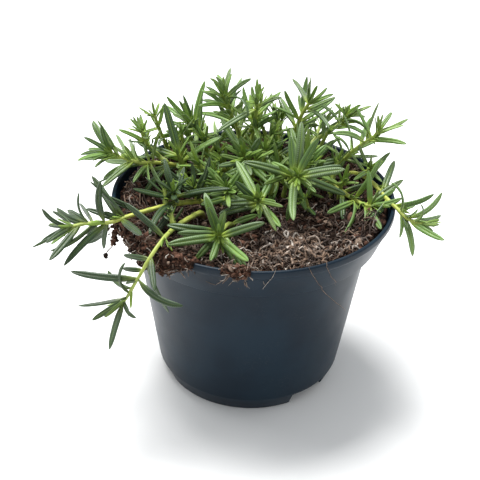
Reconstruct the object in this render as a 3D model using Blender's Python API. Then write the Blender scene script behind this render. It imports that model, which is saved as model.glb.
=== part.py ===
"""A young trailing rosemary in a 13 cm nursery pot.

Lengths are in millimetres and angles in degrees; solid() scales each finished mesh to metres. The origin is
the middle of the pot's base, on the surface that the pot stands on. +Z is up, and the longest shoot points
to -X. The pot, the soil and each rooted stem with its side shoots and leaves are separate solids.
"""
import itertools
import math
import random
from typing import NamedTuple

import bmesh
import bpy
import numpy as np
from mathutils import Quaternion, Vector, kdtree, noise

METRES = 0.001

# Pot
POT_HEIGHT = 94.0
RIM_RADIUS = 65.0
LIP_RADIUS = 63.1
BEAD_HEIGHT = 4.4
BAND_TOP_RADIUS = 63.9
BAND_FOOT_RADIUS = 59.1
BAND_FOOT_Z = 77.3
WALL_TOP_RADIUS = 54.75
CREASE_RADIUS = 44.0
CREASE_Z = 8.0
FOOT_RADIUS = 40.4
WALL = 1.2
FLOOR_UNDER = 7.6
PAD_RADIUS = 13.0
PAD_FLARE = 3.0
POT_SIDES = 42
FOOT_ANGLES = (16, 136, 256)
NOTCH_WIDTH = 32
NOTCH_HEIGHT = 7.0
DRAIN_COUNT = 8
DRAIN_RADIUS = 3.0
DRAIN_CIRCLE = 29.0

# Soil
GAP = 0.35
SOIL_RADIUS = 57.2
SOIL_EDGE_Z = 82.0
SOIL_MOUND = 2.2
SOIL_LUMPS = 1.2
LUMP_SIZE = 9.0
SOIL_SIDES = 28
ROOT_Z = 72.0
HOLE_GAP = 0.45
# Where soil has spilled over the rim: first angle, last angle, height of its lower edge
SPILLS = ((198, 243, 79.5), (259, 270, 87.0))
SPILL_TOP = 95.2

# Stems and leaves
STEM_RADIUS = 1.25
STEM_TIP_RADIUS = 0.7
STEM_SIDES = 5
STEM_STEP = 6.5
LEAF_WIDTH = 3.6
LEAF_KEEL = 1.2
ROOT_KEEL = 0.5
ROOT_SHIFT = 0.25
LEAF_STEPS = 4
# Share of the width at some places along a long and a short leaf, counted in steps from its root
LEAF_OUTLINE = ((0, 0.36), (1.6, 1.0), (3.1, 0.76))
SHORT_LEAF = 15.0
SHORT_OUTLINE = ((0, 0.4), (2.2, 1.0))
CLEARANCE = 1.95
OWN_CLEARANCE = 1.35
# A placed leaf's bow as a share of its length: without a middle, where its upper side follows it, and the most
SLIGHT_BOW, LEAST_BOW, MOST_BOW = 0.04, 0.06, 0.3
# The direction away from the photo's side, and how far a leaf added by the rule to placed ones turns to it
AWAY, LEAST_AWAY = Vector((0, 0.85, -0.53)), -0.38
# How far a placed leaf turns its upper side to the photo's side, which is less where it is bowed
MOST_SHOWN, SHOWN, SHOWN_LESS, MOST_TURN = 0.85, 1.7, 8.5, 75
# How far a leaf may stray from its rule
STRAY_ROLL, STRAY_LENGTH, STRAY_SPREAD, STRAY_CURL = 15, 0.16, 13, 24


class Shoot(NamedTuple):
    """A stem's route and the rule for the crossed pairs of leaves along it."""
    name: str
    node: str
    route: list
    bare: float
    pairs: int
    leaf: float
    roll: float = 30
    spread: tuple = (66, 26)
    curl: float = 8
    twist: float = 0
    tip: float = 0.6
    stray: float = 1.0
    seed: int = 1


class Leaf(NamedTuple):
    """A leaf's seat on its stem, the way it leaves the stem, its length, its bend and its blade's turn."""
    base: Vector
    along: Vector
    out: Vector
    spread: float
    length: float
    curl: float
    facing: float = 0


def rooted(x, y, *route):
    """A route that rises straight out of its hole in the soil before it bends."""
    return [(x, y, ROOT_Z), (x, y, SOIL_EDGE_Z + 2), *route]


SHOOTS = [
    Shoot("A", "left_trailing", rooted(-22, 3, (-24, 0, 88.5), (-30, -6, 91.5), (-37, -13, 94),
          (-46, -22, 96.2), (-54, -29, 97.0), (-62, -33.5, 96.2), (-71, -33.5, 95.4), (-79, -35.5, 94.4)),
          bare=55, pairs=6, leaf=24, roll=70, spread=(74, 36), curl=-12, twist=10, tip=0.85, stray=1.5, seed=430),
    Shoot("A2", "left_trailing", [(-35, -11, 93.4), (-35.5, -12, 97), (-36, -13, 101)],
          bare=2, pairs=4, leaf=24, roll=160, spread=(82, 28), curl=28, twist=10, tip=0.65, stray=1.5, seed=183),
    Shoot("U", "left_trailing", [(-25, -1, 89), (-26.5, -2, 94), (-28, -4, 99)],
          bare=2, pairs=5, leaf=17, roll=30, spread=(50, 20), curl=-12, twist=10, tip=0.45, stray=1.5, seed=100),
    Shoot("R", "left_trailing", [(-39, -15, 94.6), (-39.5, -13, 98), (-40, -11, 102)],
          bare=2, pairs=3, leaf=11, roll=0, spread=(60, 16), curl=4, twist=0, tip=0.45, stray=1, seed=1),
    Shoot("B", "front_left_hanging", rooted(-23, -6, (-24, -10, 88.5), (-28, -19, 91.2), (-33, -31, 94.0),
          (-37, -46, 97.4), (-41.5, -56, 95), (-45.5, -60.5, 89), (-49, -61.5, 82.5), (-52, -60.5, 76),
          (-54, -60, 73)),
          bare=58, pairs=4, leaf=27, roll=90, spread=(86, 40), curl=16, twist=0, tip=0.85, stray=1, seed=24),
    Shoot("B2", "front_left_hanging", [(-34.5, -30, 94), (-35.5, -28, 97), (-36, -27, 99)],
          bare=1.5, pairs=2, leaf=9, roll=45, spread=(60, 26), curl=4, twist=0, tip=0.45, stray=1, seed=1),
    Shoot("C", "left_upper", rooted(-10, 33, (-13, 32, 88), (-20, 29, 90), (-32, 24, 94),
          (-45, 16, 99.5), (-53.5, 10, 102.5), (-62, 10, 105), (-66, 9, 107.5)),
          bare=57, pairs=10, leaf=23, roll=60, spread=(86, 32), curl=16, twist=5, tip=0.85, stray=1.5, seed=465),
    Shoot("D", "left_upper", [(-41, 18.5, 98), (-46, 21, 101), (-50, 18, 107), (-52, 15, 114),
          (-52, 13, 118)],
          bare=2, pairs=7, leaf=16, roll=100, spread=(54, 48), curl=-16, twist=0, tip=0.45, stray=1.5, seed=144),
    Shoot("T", "left_upper", [(-34, 22.5, 95), (-35, 22, 98), (-36, 20.5, 101), (-36.5, 19.5, 103)],
          bare=2, pairs=4, leaf=24, roll=80, spread=(86, 28), curl=-4, twist=0, tip=0.55, stray=1.5, seed=474),
    Shoot("E", "back_left", rooted(-34.2, 35, (-40, 38, 90), (-44, 35, 101), (-47, 32, 112),
          (-48, 30, 117)),
          bare=13, pairs=4, leaf=18, roll=30, spread=(70, 52), curl=24, twist=0, tip=0.45, stray=1.5, seed=294),
    Shoot("F", "back_left_inner", rooted(-15.2, 46.5, (-19, 49, 91), (-24, 45, 98), (-28, 41, 105),
          (-32, 38, 111)),
          bare=36, pairs=9, leaf=21, roll=55, spread=(50, 24), curl=16, twist=-10, tip=0.45, stray=1, seed=370),
    Shoot("G", "back_middle", rooted(-6, 45, (-7, 46, 95), (-9.5, 44, 106), (-13.5, 41, 116.5),
          (-16, 39, 125.5)),
          bare=42, pairs=7, leaf=16, roll=150, spread=(62, 20), curl=20, twist=0, tip=0.75, stray=1, seed=624),
    Shoot("Q", "back_middle", [(-7, 46, 95), (-4, 44, 101), (-1, 40, 110), (0, 36, 120), (0, 35, 124)],
          bare=13, pairs=6, leaf=18, roll=85, spread=(74, 40), curl=-8, twist=-10, tip=0.65, stray=1.5, seed=406),
    Shoot("K", "back_right", rooted(14.2, 46.8, (18, 49, 92), (19.5, 46, 104), (21.3, 44, 112),
          (24, 42, 119), (25.5, 41, 122)),
          bare=34, pairs=6, leaf=21, roll=45, spread=(58, 20), curl=0, twist=-5, tip=0.65, stray=1, seed=491),
    Shoot("L", "right_upright", rooted(23, 42, (25, 45, 91), (31, 46, 100), (36, 46, 104), (41, 44, 110),
          (43, 43, 115)),
          bare=38, pairs=6, leaf=19, roll=90, spread=(86, 28), curl=24, twist=0, tip=0.45, stray=1, seed=448),
    Shoot("M", "right_upper", rooted(32, 36, (35, 33, 89), (41, 29, 96), (46, 26, 104), (52, 25, 110),
          (55, 24, 113), (57, 23, 117)),
          bare=35, pairs=4, leaf=21, roll=70, spread=(74, 52), curl=0, twist=0, tip=0.85, stray=1.5, seed=453),
    Shoot("N", "right_trailing", rooted(38, 30.5, (43, 31, 88.5), (50, 25.5, 92), (56, 13, 94),
          (61, -4, 95.5), (64.5, -12.5, 96.0), (68, -19.5, 95.6), (72, -23, 95.2), (76, -24.5, 95.4)),
          bare=37, pairs=9, leaf=18, roll=90, spread=(70, 28), curl=24, twist=10, tip=0.55, stray=1, seed=25),
    Shoot("P", "right_trailing", [(50.3, 25.2, 92), (52, 21, 95), (53.5, 17, 99), (54, 15, 102)],
          bare=7, pairs=4, leaf=16, roll=35, spread=(78, 24), curl=12, twist=-10, tip=0.65, stray=1, seed=348),
    Shoot("S", "right_trailing", rooted(31, 27, (34, 24, 88), (41, 14, 89), (47, 4, 90), (51.5, -2, 91),
          (54.5, -6, 93)),
          bare=32, pairs=7, leaf=21, roll=170, spread=(74, 28), curl=4, twist=10, tip=0.75, stray=1.5, seed=288),
    Shoot("X", "right_upright", [(25, 45, 91), (27.5, 51, 93), (30.5, 58, 96.5), (33, 64, 99.5)],
          bare=5, pairs=4, leaf=17, roll=30, spread=(66, 26), curl=8, twist=0, tip=0.45, stray=1, seed=1),
    Shoot("H", "centre_right", rooted(9, 24, (12, 18, 93), (16, 6, 101), (19, -4, 106), (20, -8, 108)),
          bare=45, pairs=8, leaf=26, roll=30, spread=(86, 36), curl=4, twist=-10, tip=0.65, stray=1.5, seed=357),
    Shoot("I", "centre_front", rooted(2, 4, (3, -2, 91), (3, -12, 97.5), (2, -19, 101), (2, -22, 103)),
          bare=34, pairs=9, leaf=25, roll=50, spread=(54, 52), curl=0, twist=-10, tip=0.45, stray=1, seed=243),
    Shoot("J", "front", rooted(-9, -14, (-11, -20, 89), (-13, -32, 93.5), (-14, -40, 96.5),
          (-14, -45, 98)),
          bare=37, pairs=8, leaf=24, roll=115, spread=(74, 44), curl=28, twist=-10, tip=0.65, stray=1, seed=221),
    Shoot("W", "inner_back", rooted(8, 37, (9, 37, 91), (10, 32, 100), (10, 29, 105)),
          bare=18, pairs=6, leaf=20, roll=60, spread=(66, 26), curl=8, twist=0, tip=0.45, stray=1, seed=1),
    Shoot("Y", "back_middle", [(-6.8, 45.8, 92), (-8, 53, 94), (-9, 62, 97.5), (-8, 71, 101)],
          bare=8, pairs=6, leaf=18, roll=45, spread=(66, 26), curl=8, twist=0, tip=0.45, stray=1, seed=1),
    Shoot("Z", "inner_left", rooted(-10, 3, (-11, 0, 91), (-12, -5, 97), (-12, -8, 100)),
          bare=17, pairs=6, leaf=20, roll=45, spread=(70, 28), curl=8, twist=0, tip=0.45, stray=1, seed=1),
    Shoot("O", "inner_right", rooted(19, 24, (20, 22, 91), (23, 17, 99), (25, 14, 103)),
          bare=18, pairs=6, leaf=21, roll=60, spread=(66, 26), curl=8, twist=0, tip=0.45, stray=1, seed=1),
    Shoot("V", "inner_middle", rooted(-1, 32, (-2, 29, 91), (-4, 20, 100), (-5, 15, 105)),
          bare=18, pairs=6, leaf=22, roll=30, spread=(70, 26), curl=8, twist=0, tip=0.45, stray=1, seed=1),
]


# Leaves placed one by one: the run of stem up to its seat, its tip and, for a bent leaf, its middle
PLACED = {
    "A": [
        (87.5, (-91, -34, 102), (-86.5, -35.5, 97)), (87.5, (-90, -29, 91), None),
        (87.5, (-92.5, -40.5, 92), (-86.5, -38, 93.5)), (87.5, (-87.5, -47.5, 93.5), None),
        (84, (-86, -52.5, 88), (-80.5, -43.5, 91.5)), (81, (-87.5, -21, 95), (-81.5, -28, 94.5)),
        (79.5, (-85, -21, 96), (-79, -27, 96.5)), (79.5, (-75.5, -28.5, 108), (-76, -31, 102)),
        (75, (-73.5, -31.5, 88.5), None), (71.5, (-81.5, -44, 80), None),
        (71.5, (-65.5, -32.5, 81.5), None), (65.5, (-71.5, -17.5, 110), (-65, -24.5, 103)),
        (72.5, (-65, -35, 117), (-66.5, -34.5, 106.5)), (66.5, (-71.5, -24, 93.5), None),
        (65, (-64.5, -31, 100), None), (65, (-41.5, -47, 94), (-49, -39, 95.5)),
        (34.5, (-45, -29.5, 87), (-41, -20.5, 89.5)),
    ],
    "B": [
        (71.5, (-54.5, -50, 90.5), None), (81.5, (-75.5, -60, 88), (-62, -61, 86)),
        (90, (-55.5, -63, 94), (-56.5, -62.5, 85)), (77, (-54.5, -54.5, 86.5), None),
        (92.5, (-72.5, -64.5, 74), (-63, -63, 74)), (96, (-63, -57, 62.5), None),
        (96, (-58, -78.5, 62), (-56.5, -69.5, 67.5)), (95.5, (-47.5, -69, 71.5), (-52, -65, 72)),
        (81.5, (-27.5, -72, 80.5), (-40.5, -67.5, 82)), (70.5, (-39, -73, 88.5), (-40.5, -64.5, 92)),
        (82, (-55, -63.5, 84.5), None),
    ],
    "C": [
        (80, (-77.5, 27.5, 114.5), (-72.5, 18, 110.5)), (80, (-70, 6.5, 123), (-69, 7.5, 115)),
        (80, (-78.5, 10, 115), None), (80, (-78, 17.5, 105.5), None),
        (78.5, (-80, -3, 109.5), (-74.5, 3.5, 109)), (77, (-72.5, -1, 105.5), (-70, 4.5, 106)),
        (69, (-68.5, -7.5, 99), (-62.5, 1.5, 101.5)), (60.5, (-68.5, 6.5, 90.5), (-61, 10.5, 97)),
        (68, (-60.5, 12, 110), (-58, 11, 106.5)), (67.5, (-58, 19, 106.5), None),
        (69.5, (-60.5, 7.5, 108), None), (61.5, (-55.5, 0, 97.5), None),
        (49, (-50.5, 5.5, 82.5), (-46, 13, 91)),
    ],
    "D": [
        (18, (-63.5, 17, 116), (-57, 17, 113.5)), (23, (-54.5, 26, 119.5), (-53.5, 20.5, 117)),
        (16, (-52.5, 16, 117), (-51.5, 17, 113.5)), (21.5, (-53.5, 23.5, 117), (-51.5, 20, 116.5)),
    ],
    "T": [
        (0.5, (-36, 3, 87), (-36, 13, 91.5)),
    ],
    "E": [
        (38.5, (-50.5, 36.5, 114), (-47.5, 35.5, 110)), (43, (-44.5, 36.5, 120), (-45.5, 35, 115.5)),
    ],
    "F": [
        (39, (-50, 35.5, 103.5), (-39, 38.5, 105)), (47, (-43, 41.5, 122), (-38.5, 39.5, 116.5)),
        (46, (-41, 46.5, 110), (-36.5, 43, 110.5)), (47, (-35, 41, 119.5), (-33.5, 39.5, 115.5)),
        (45, (-32.5, 37.5, 117.5), None), (43, (-25.5, 49.5, 127), (-28.5, 45, 118.5)),
        (33, (-25, 52, 103.5), None), (32.5, (-12, 34.5, 102.5), (-18.5, 40, 102)),
        (31, (-14.5, 32, 96.5), (-19, 38.5, 98)),
    ],
    "G": [
        (55.5, (-19.5, 50.5, 130), (-16.5, 44.5, 128)), (55.5, (-22.5, 40.5, 132.5), (-18, 40, 129.5)),
        (53.5, (-22, 35.5, 134), (-17.5, 38, 129.5)), (55.5, (-16.5, 41.5, 133), None),
        (55.5, (-12.5, 51.5, 131.5), (-13.5, 45.5, 129)), (53.5, (-9.5, 43, 134), (-12, 41.5, 129.5)),
        (53, (-6, 36.5, 137), (-10.5, 38.5, 131.5)), (52.5, (-1.5, 30, 125), (-7, 38.5, 129.5)),
        (53.5, (-25.5, 38, 126.5), (-19, 39, 125.5)), (49, (-25, 33, 127.5), (-19, 37, 124)),
        (46.5, (-27, 52.5, 115.5), (-19.5, 47, 117)), (44, (-5.5, 43.5, 121), (-8, 42.5, 118.5)),
        (38.5, (-21, 43, 114.5), (-15.5, 43, 112.5)), (41, (-19, 37, 116), (-15, 40.5, 115.5)),
        (36.5, (-28.5, 56.5, 106.5), (-19.5, 50.5, 108.5)),
    ],
    "Q": [
        (28, (-18.5, 24.5, 112), None), (31.5, (3, 38, 130.5), (1, 37, 127)),
        (27.5, (11.5, 37.5, 125.5), (5.5, 37.5, 123.5)), (11, (9.5, 37, 116), (2.5, 39.5, 110)),
        (12.5, (3.5, 39.5, 114.5), (0.5, 40.5, 110)), (17, (11.5, 48, 104.5), (5.5, 45.5, 109)),
        (31, (-5.5, 40, 121.5), None),
    ],
    "K": [
        (51.5, (17, 58, 126), (21.5, 50, 124)), (41, (13, 41, 127.5), (16.5, 43, 119.5)),
        (44.5, (20, 55, 119), (21, 49.5, 116.5)), (51.5, (25, 45.5, 130.5), (24.5, 44, 126)),
        (51, (28, 40, 131), (26, 41, 125.5)), (51, (35.5, 43.5, 127), (30, 43, 124)),
        (40.5, (7, 37.5, 120.5), (14.5, 41.5, 116.5)), (48, (34.5, 27.5, 114.5), (30.5, 36, 117.5)),
        (38, (30, 53, 107), (25, 49, 107.5)), (35.5, (30, 39, 110.5), (25, 42.5, 108.5)),
        (35, (12, 43.5, 104.5), None),
    ],
    "L": [
        (50.5, (37.5, 44.5, 120), None), (51, (43, 47.5, 117), None),
        (50.5, (49, 40, 122), (46, 41.5, 118.5)), (46, (45.5, 42, 114.5), None),
        (31.5, (25.5, 53, 101.5), None),
    ],
    "M": [
        (49.5, (44.5, 40.5, 116), (52, 34, 116)), (56, (56.5, 25.5, 123.5), None),
        (55.5, (64, 35.5, 120.5), (60.5, 29.5, 118.5)), (48.5, (69.5, 13.5, 115.5), (62, 19.5, 114)),
        (46.5, (35, 16, 118), (44, 21.5, 115.5)), (37, (36, 22.5, 113.5), (41.5, 25.5, 109.5)),
        (38, (46, 34, 107), None),
    ],
    "N": [
        (53.5, (65, 22, 102.5), (63, 13, 99.5)), (35.5, (62, 32, 96), (57.5, 25.5, 94)),
        (68, (66, -24, 91), (66, -17, 94.5)), (74.5, (71.5, -29, 81.5), (70, -22.5, 89.5)),
        (80, (82.5, -35.5, 94.5), (76, -28.5, 94.5)), (81.5, (79, -24, 95.5), None),
        (81, (85, -11.5, 92.5), (79, -17, 93)), (78.5, (83, -16, 107), (77.5, -19, 99.5)),
        (82, (77, -25, 104.5), (77, -24, 99.5)), (71, (73.5, -7, 95), None),
        (73, (60, -17.5, 112), (66, -16, 104.5)),
    ],
    "S": [
        (50, (68, 12.5, 91.5), (60, 5.5, 92)), (50, (66, -10.5, 100.5), (59.5, -7, 95)),
        (50.5, (60.5, -21, 84), (56.5, -12.5, 86.5)), (50.5, (52.5, -6.5, 87), None),
        (43, (33.5, -9.5, 91), (40.5, -3.5, 90)), (32, (38.5, -8, 79), (40.5, 2.5, 84)),
        (53, (52, 1.5, 107.5), (53, -1.5, 99.5)),
    ],
    "H": [
        (45.5, (-5, 3, 109.5), (6, 2, 107.5)), (44.5, (7.5, 11.5, 104.5), (13, 6.5, 104.5)),
        (54.5, (39.5, -14, 116.5), (29.5, -11, 112.5)), (49.5, (18, -23.5, 94.5), (17.5, -15.5, 97.5)),
        (54, (25.5, -14.5, 107), None), (21, (7.5, 3.5, 85.5), (8.5, 12, 88.5)),
    ],
    "I": [
        (15.5, (-15.5, -11, 89), (-6.5, -4, 88.5)), (43, (-14.5, -11, 94.5), (-6, -15.5, 98.5)),
        (43.5, (-8, -25, 114), (-3, -23, 107.5)), (45, (-8.5, -3, 112.5), (-4.5, -12, 108.5)),
        (30.5, (9.5, 6, 101), (6, -2, 98.5)), (16, (12.5, -16.5, 78.5), (6.5, -6.5, 84)),
        (15.5, (-1, -3, 85.5), None),
    ],
    "J": [
        (47, (5, -43.5, 105.5), (-4.5, -44, 102)), (15, (4.5, -4.5, 83.5), None),
        (47, (-33, -34, 93.5), (-23.5, -39, 96)), (47, (-36, -48.5, 94.5), (-25.5, -47, 96)),
        (47, (-16.5, -57, 93.5), (-15.5, -51, 96)), (47, (0, -61.5, 94), (-8, -53.5, 95.5)),
        (47, (-21.5, -25, 108), (-18, -34.5, 104)), (47, (-18.5, -47, 113.5), (-17, -46, 106)),
    ],
    "W": [
        (19.5, (8, 42, 104.5), (8, 39.5, 97.5)), (20, (5.5, 35.5, 98), None),
        (19.5, (-11, 37, 97), (-1.5, 37.5, 94.5)),
    ],
    "O": [
        (28, (43, 29.5, 95.5), (33, 24, 97.5)), (25, (17.5, 38, 109.5), (19.5, 29, 103.5)),
    ],
}


def material(name, colour, roughness):
    made = bpy.data.materials.new(name)
    made.use_nodes = True
    shader = made.node_tree.nodes["Principled BSDF"]
    shader.inputs["Base Color"].default_value = (*colour, 1)
    shader.inputs["Roughness"].default_value = roughness
    shader.inputs["Metallic"].default_value = 0
    return made


def solid(name, points, faces, finish=None):
    """An object from points in millimetres, with its faces turned outwards."""
    mesh = bpy.data.meshes.new(name)
    mesh.from_pydata([Vector(point) * METRES for point in points], [], faces)
    shape = bmesh.new()
    shape.from_mesh(mesh)
    bmesh.ops.recalc_face_normals(shape, faces=shape.faces)
    shape.to_mesh(mesh)
    shape.free()
    made = bpy.data.objects.new(name, mesh)
    bpy.context.scene.collection.objects.link(made)
    if finish:
        mesh.materials.append(finish)
    return made


def cut(target, cutter):
    """Takes the cutter out of the target, and keeps the cutter as a hidden helper."""
    cutter.hide_render = True
    cutter.display_type = "WIRE"
    boolean = target.modifiers.new(cutter.name, "BOOLEAN")
    boolean.operation = "DIFFERENCE"
    boolean.object = cutter


def turned(profile, sides):
    """Points and faces of an outline of (radius, height), from axis to axis, turned round Z."""
    points, rings = [], []
    for radius, height in profile:
        start = len(points)
        if radius == 0:
            points.append((0, 0, height))
            rings.append([start] * (sides + 1))
            continue
        for side in range(sides):
            angle = math.tau * side / sides
            points.append((radius * math.cos(angle), radius * math.sin(angle), height))
        rings.append([start + side % sides for side in range(sides + 1)])
    return points, skinned(rings)


def skinned(rings):
    """Faces between each ring of point numbers and the next, with triangles where a ring is one point."""
    faces = []
    for lower, upper in zip(rings, rings[1:]):
        for side in range(len(lower) - 1):
            corners = [lower[side], lower[side + 1], upper[side + 1], upper[side]]
            faces.append(list(dict.fromkeys(corners)))
    return faces


def grown(profile, gap):
    """An outline moved outwards by a gap. The outline runs with the solid on its left."""
    edges = [Vector(b) - Vector(a) for a, b in zip(profile, profile[1:])]
    normals = [Vector((edge.y, -edge.x)).normalized() for edge in edges]
    moved = [Vector(profile[0]) + normals[0] * gap]
    for corner, before, after in zip(profile[1:-1], normals, normals[1:]):
        moved.append(Vector(corner) + (before + after) * gap / max(1 + before.dot(after), 0.5))
    moved.append(Vector(profile[-1]) + normals[-1] * gap)
    return [tuple(point) for point in moved]


def pot_profile():
    """The pot's outline: under the floor, up the outside, over the bead and down the inside."""
    floor_top = FLOOR_UNDER + WALL
    skirt_slope = (CREASE_RADIUS - FOOT_RADIUS) / CREASE_Z
    skirt_at_floor = FOOT_RADIUS + skirt_slope * FLOOR_UNDER
    bead_z = POT_HEIGHT - BEAD_HEIGHT
    ledge_top = BAND_FOOT_Z + WALL
    return [
        (0, 0),
        (PAD_RADIUS, 0),
        (PAD_RADIUS + PAD_FLARE, FLOOR_UNDER),
        (skirt_at_floor - WALL, FLOOR_UNDER),
        (FOOT_RADIUS - WALL, 0),
        (FOOT_RADIUS, 0),
        (CREASE_RADIUS, CREASE_Z),
        (WALL_TOP_RADIUS, BAND_FOOT_Z),
        (BAND_FOOT_RADIUS, BAND_FOOT_Z),
        (BAND_TOP_RADIUS, bead_z),
        (RIM_RADIUS, bead_z + 1.1),
        (RIM_RADIUS - 0.1, POT_HEIGHT - 0.7),
        (RIM_RADIUS - 0.9, POT_HEIGHT),
        (LIP_RADIUS, POT_HEIGHT - 0.7),
        (LIP_RADIUS - 0.5, bead_z),
        (BAND_FOOT_RADIUS - WALL, ledge_top),
        (WALL_TOP_RADIUS - WALL, ledge_top),
        (CREASE_RADIUS - WALL, floor_top + 0.9),
        (CREASE_RADIUS - 2 * WALL, floor_top),
        (PAD_RADIUS + PAD_FLARE + 0.3, floor_top),
        (PAD_RADIUS + 0.3, WALL),
        (0, WALL),
    ]


def build_pot(finish):
    pot = solid("pot", *turned(pot_profile(), POT_SIDES), finish)
    for number, foot in enumerate(FOOT_ANGLES):
        middle = math.radians(foot + 60)
        half = math.radians(NOTCH_WIDTH / 2)
        corners = [(radius, angle) for radius in (FOOT_RADIUS - 8, CREASE_RADIUS + 4)
                   for angle in (middle - half, middle + half)]
        points = [(radius * math.cos(angle), radius * math.sin(angle), height)
                  for height in (-2, NOTCH_HEIGHT) for radius, angle in corners]
        faces = [(0, 1, 3, 2), (4, 5, 7, 6), (0, 1, 5, 4), (2, 3, 7, 6), (0, 2, 6, 4), (1, 3, 7, 5)]
        cut(pot, solid(f"notch_{number}", points, faces))
    for number in range(DRAIN_COUNT):
        angle = math.tau * (number + 0.5) / DRAIN_COUNT
        centre = Vector((math.cos(angle), math.sin(angle), 0)) * DRAIN_CIRCLE
        outline = [(0, FLOOR_UNDER - 2), (DRAIN_RADIUS, FLOOR_UNDER - 2),
                   (DRAIN_RADIUS, FLOOR_UNDER + WALL + 2), (0, FLOOR_UNDER + WALL + 2)]
        points, faces = turned(outline, 10)
        cut(pot, solid(f"drain_{number}", [centre + Vector(point) for point in points], faces))
    pot.data.shade_smooth()
    pot.data.set_sharp_from_angle(angle=math.radians(35))
    return pot


def soil_height(x, y):
    """Top of the soil at a place inside the pot: a low mound with lumps."""
    reach = math.hypot(x, y) / SOIL_RADIUS
    lumps = noise.noise(Vector((x, y, 0)) / LUMP_SIZE) * SOIL_LUMPS
    return SOIL_EDGE_Z + SOIL_MOUND * (1 - reach * reach) + lumps


def soil_plug():
    """The root ball: it fills the pot's wall and stops short of the band, with a lumpy top."""
    ledge_top = BAND_FOOT_Z + WALL
    side = [(0, FLOOR_UNDER + WALL + GAP), (CREASE_RADIUS - 2 * WALL - 0.6, FLOOR_UNDER + WALL + GAP),
            (WALL_TOP_RADIUS - WALL - 0.7, ledge_top - 1), (WALL_TOP_RADIUS - WALL - 0.5, ledge_top + 0.6),
            (SOIL_RADIUS - 0.6, ledge_top + 1.0)]
    points, faces = turned([*side, (0, 0)], SOIL_SIDES)
    points.pop()
    faces = faces[:-SOIL_SIDES]
    last = list(range(len(points) - SOIL_SIDES, len(points)))
    rings = [[*last, last[0]]]
    for share in (1.0, 0.9, 0.72, 0.5, 0.25):
        start = len(points)
        for side_number in range(SOIL_SIDES):
            angle = math.tau * side_number / SOIL_SIDES
            ragged = 1.6 * noise.noise(Vector((math.cos(angle), math.sin(angle), 0)) * 3) - 0.6
            radius = (SOIL_RADIUS + ragged * share) * share
            x, y = radius * math.cos(angle), radius * math.sin(angle)
            points.append((x, y, soil_height(x, y) - (0.8 if share == 1.0 else 0)))
        rings.append([start + number % SOIL_SIDES for number in range(SOIL_SIDES + 1)])
    points.append((0, 0, soil_height(0, 0)))
    rings.append([len(points) - 1] * (SOIL_SIDES + 1))
    return solid("soil", points, faces + skinned(rings))


def spill(number, first, last, foot):
    """Soil hanging over the rim between two angles, thickest in the middle and lumpy outside."""
    count = max(4, round((last - first) / 4)) + 1
    points, rings = [], []
    for step in range(count):
        share = step / (count - 1)
        angle = math.radians(first + (last - first) * share)
        full = math.sin(math.pi * (0.12 + 0.76 * share))
        ragged = noise.noise(Vector((step * 0.7, number * 5, 0)))
        lower = POT_HEIGHT - (POT_HEIGHT - foot) * full * (1 + 0.25 * ragged)
        outer = RIM_RADIUS + 1.4 + 1.4 * full + 0.8 * ragged
        outline = [(SOIL_RADIUS - 4, SOIL_EDGE_Z - 2), (SOIL_RADIUS - 3, SOIL_EDGE_Z + 4),
                   (LIP_RADIUS - 2.5, SPILL_TOP - 1.4), (LIP_RADIUS + 0.2, SPILL_TOP),
                   (RIM_RADIUS + 0.2, SPILL_TOP), (outer, SPILL_TOP - 3),
                   (outer - 0.8, (SPILL_TOP - 3 + lower) / 2), (outer - 3, lower), (LIP_RADIUS - 1.2, lower)]
        start = len(points)
        points += [(radius * math.cos(angle), radius * math.sin(angle), height) for radius, height in outline]
        rings.append([*range(start, len(points)), start])
    faces = skinned(rings) + [rings[0][:-1], rings[-1][:-1]]
    return solid(f"spill_{number}", points, faces)


def shells_of(shape):
    """The mesh's faces in groups that hang together."""
    left, shells = set(shape.faces), []
    while left:
        shell, found = [], [left.pop()]
        while found:
            face = found.pop()
            shell.append(face)
            near = {other for edge in face.edges for other in edge.link_faces} & left
            left -= near
            found += near
        shells.append(shell)
    return sorted(shells, key=len)


def fill_hollows(mesh):
    """Takes away the inner walls of gaps that the joined pieces closed in between them."""
    shape = bmesh.new()
    shape.from_mesh(mesh)
    for shell in shells_of(shape)[:-1]:
        bmesh.ops.delete(shape, geom=shell, context="FACES")
    shape.to_mesh(mesh)
    shape.free()


def joined(name, pieces, finish, solver="EXACT"):
    """One solid from pieces that overlap. The pieces are used up."""
    whole, rest = pieces[0], pieces[1:]
    group = bpy.data.collections.new(name)
    bpy.context.scene.collection.children.link(group)
    for piece in rest:
        group.objects.link(piece)
    union = whole.modifiers.new("join", "BOOLEAN")
    union.operation = "UNION"
    union.solver = solver
    union.operand_type = "COLLECTION"
    union.collection = group
    graph = bpy.context.evaluated_depsgraph_get()
    mesh = bpy.data.meshes.new_from_object(whole.evaluated_get(graph))
    fill_hollows(mesh)
    for piece in pieces:
        bpy.data.objects.remove(piece)
    bpy.data.collections.remove(group)
    made = bpy.data.objects.new(name, mesh)
    mesh.name = name
    mesh.materials.clear()
    mesh.materials.append(finish)
    bpy.context.scene.collection.objects.link(made)
    return made


def build_soil(shoots, finish):
    """The root ball and its spills in one solid, clear of the pot and with a hole for each rooted stem."""
    spills = [spill(number, *place) for number, place in enumerate(SPILLS)]
    soil = joined("soil", [soil_plug(), *spills], finish)
    cut(soil, solid("pot_clearance", *turned(grown(pot_profile(), GAP), POT_SIDES)))
    for shoot in shoots:
        x, y, height = shoot.route[0]
        if height != ROOT_Z:
            continue
        radius = STEM_RADIUS + HOLE_GAP
        outline = [(0, ROOT_Z - GAP), (radius, ROOT_Z - GAP), (radius, POT_HEIGHT), (0, POT_HEIGHT)]
        points, faces = turned(outline, 8)
        cut(soil, solid(f"hole_{shoot.name}", [Vector((x, y, 0)) + Vector(p) for p in points], faces))
    return soil


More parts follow.
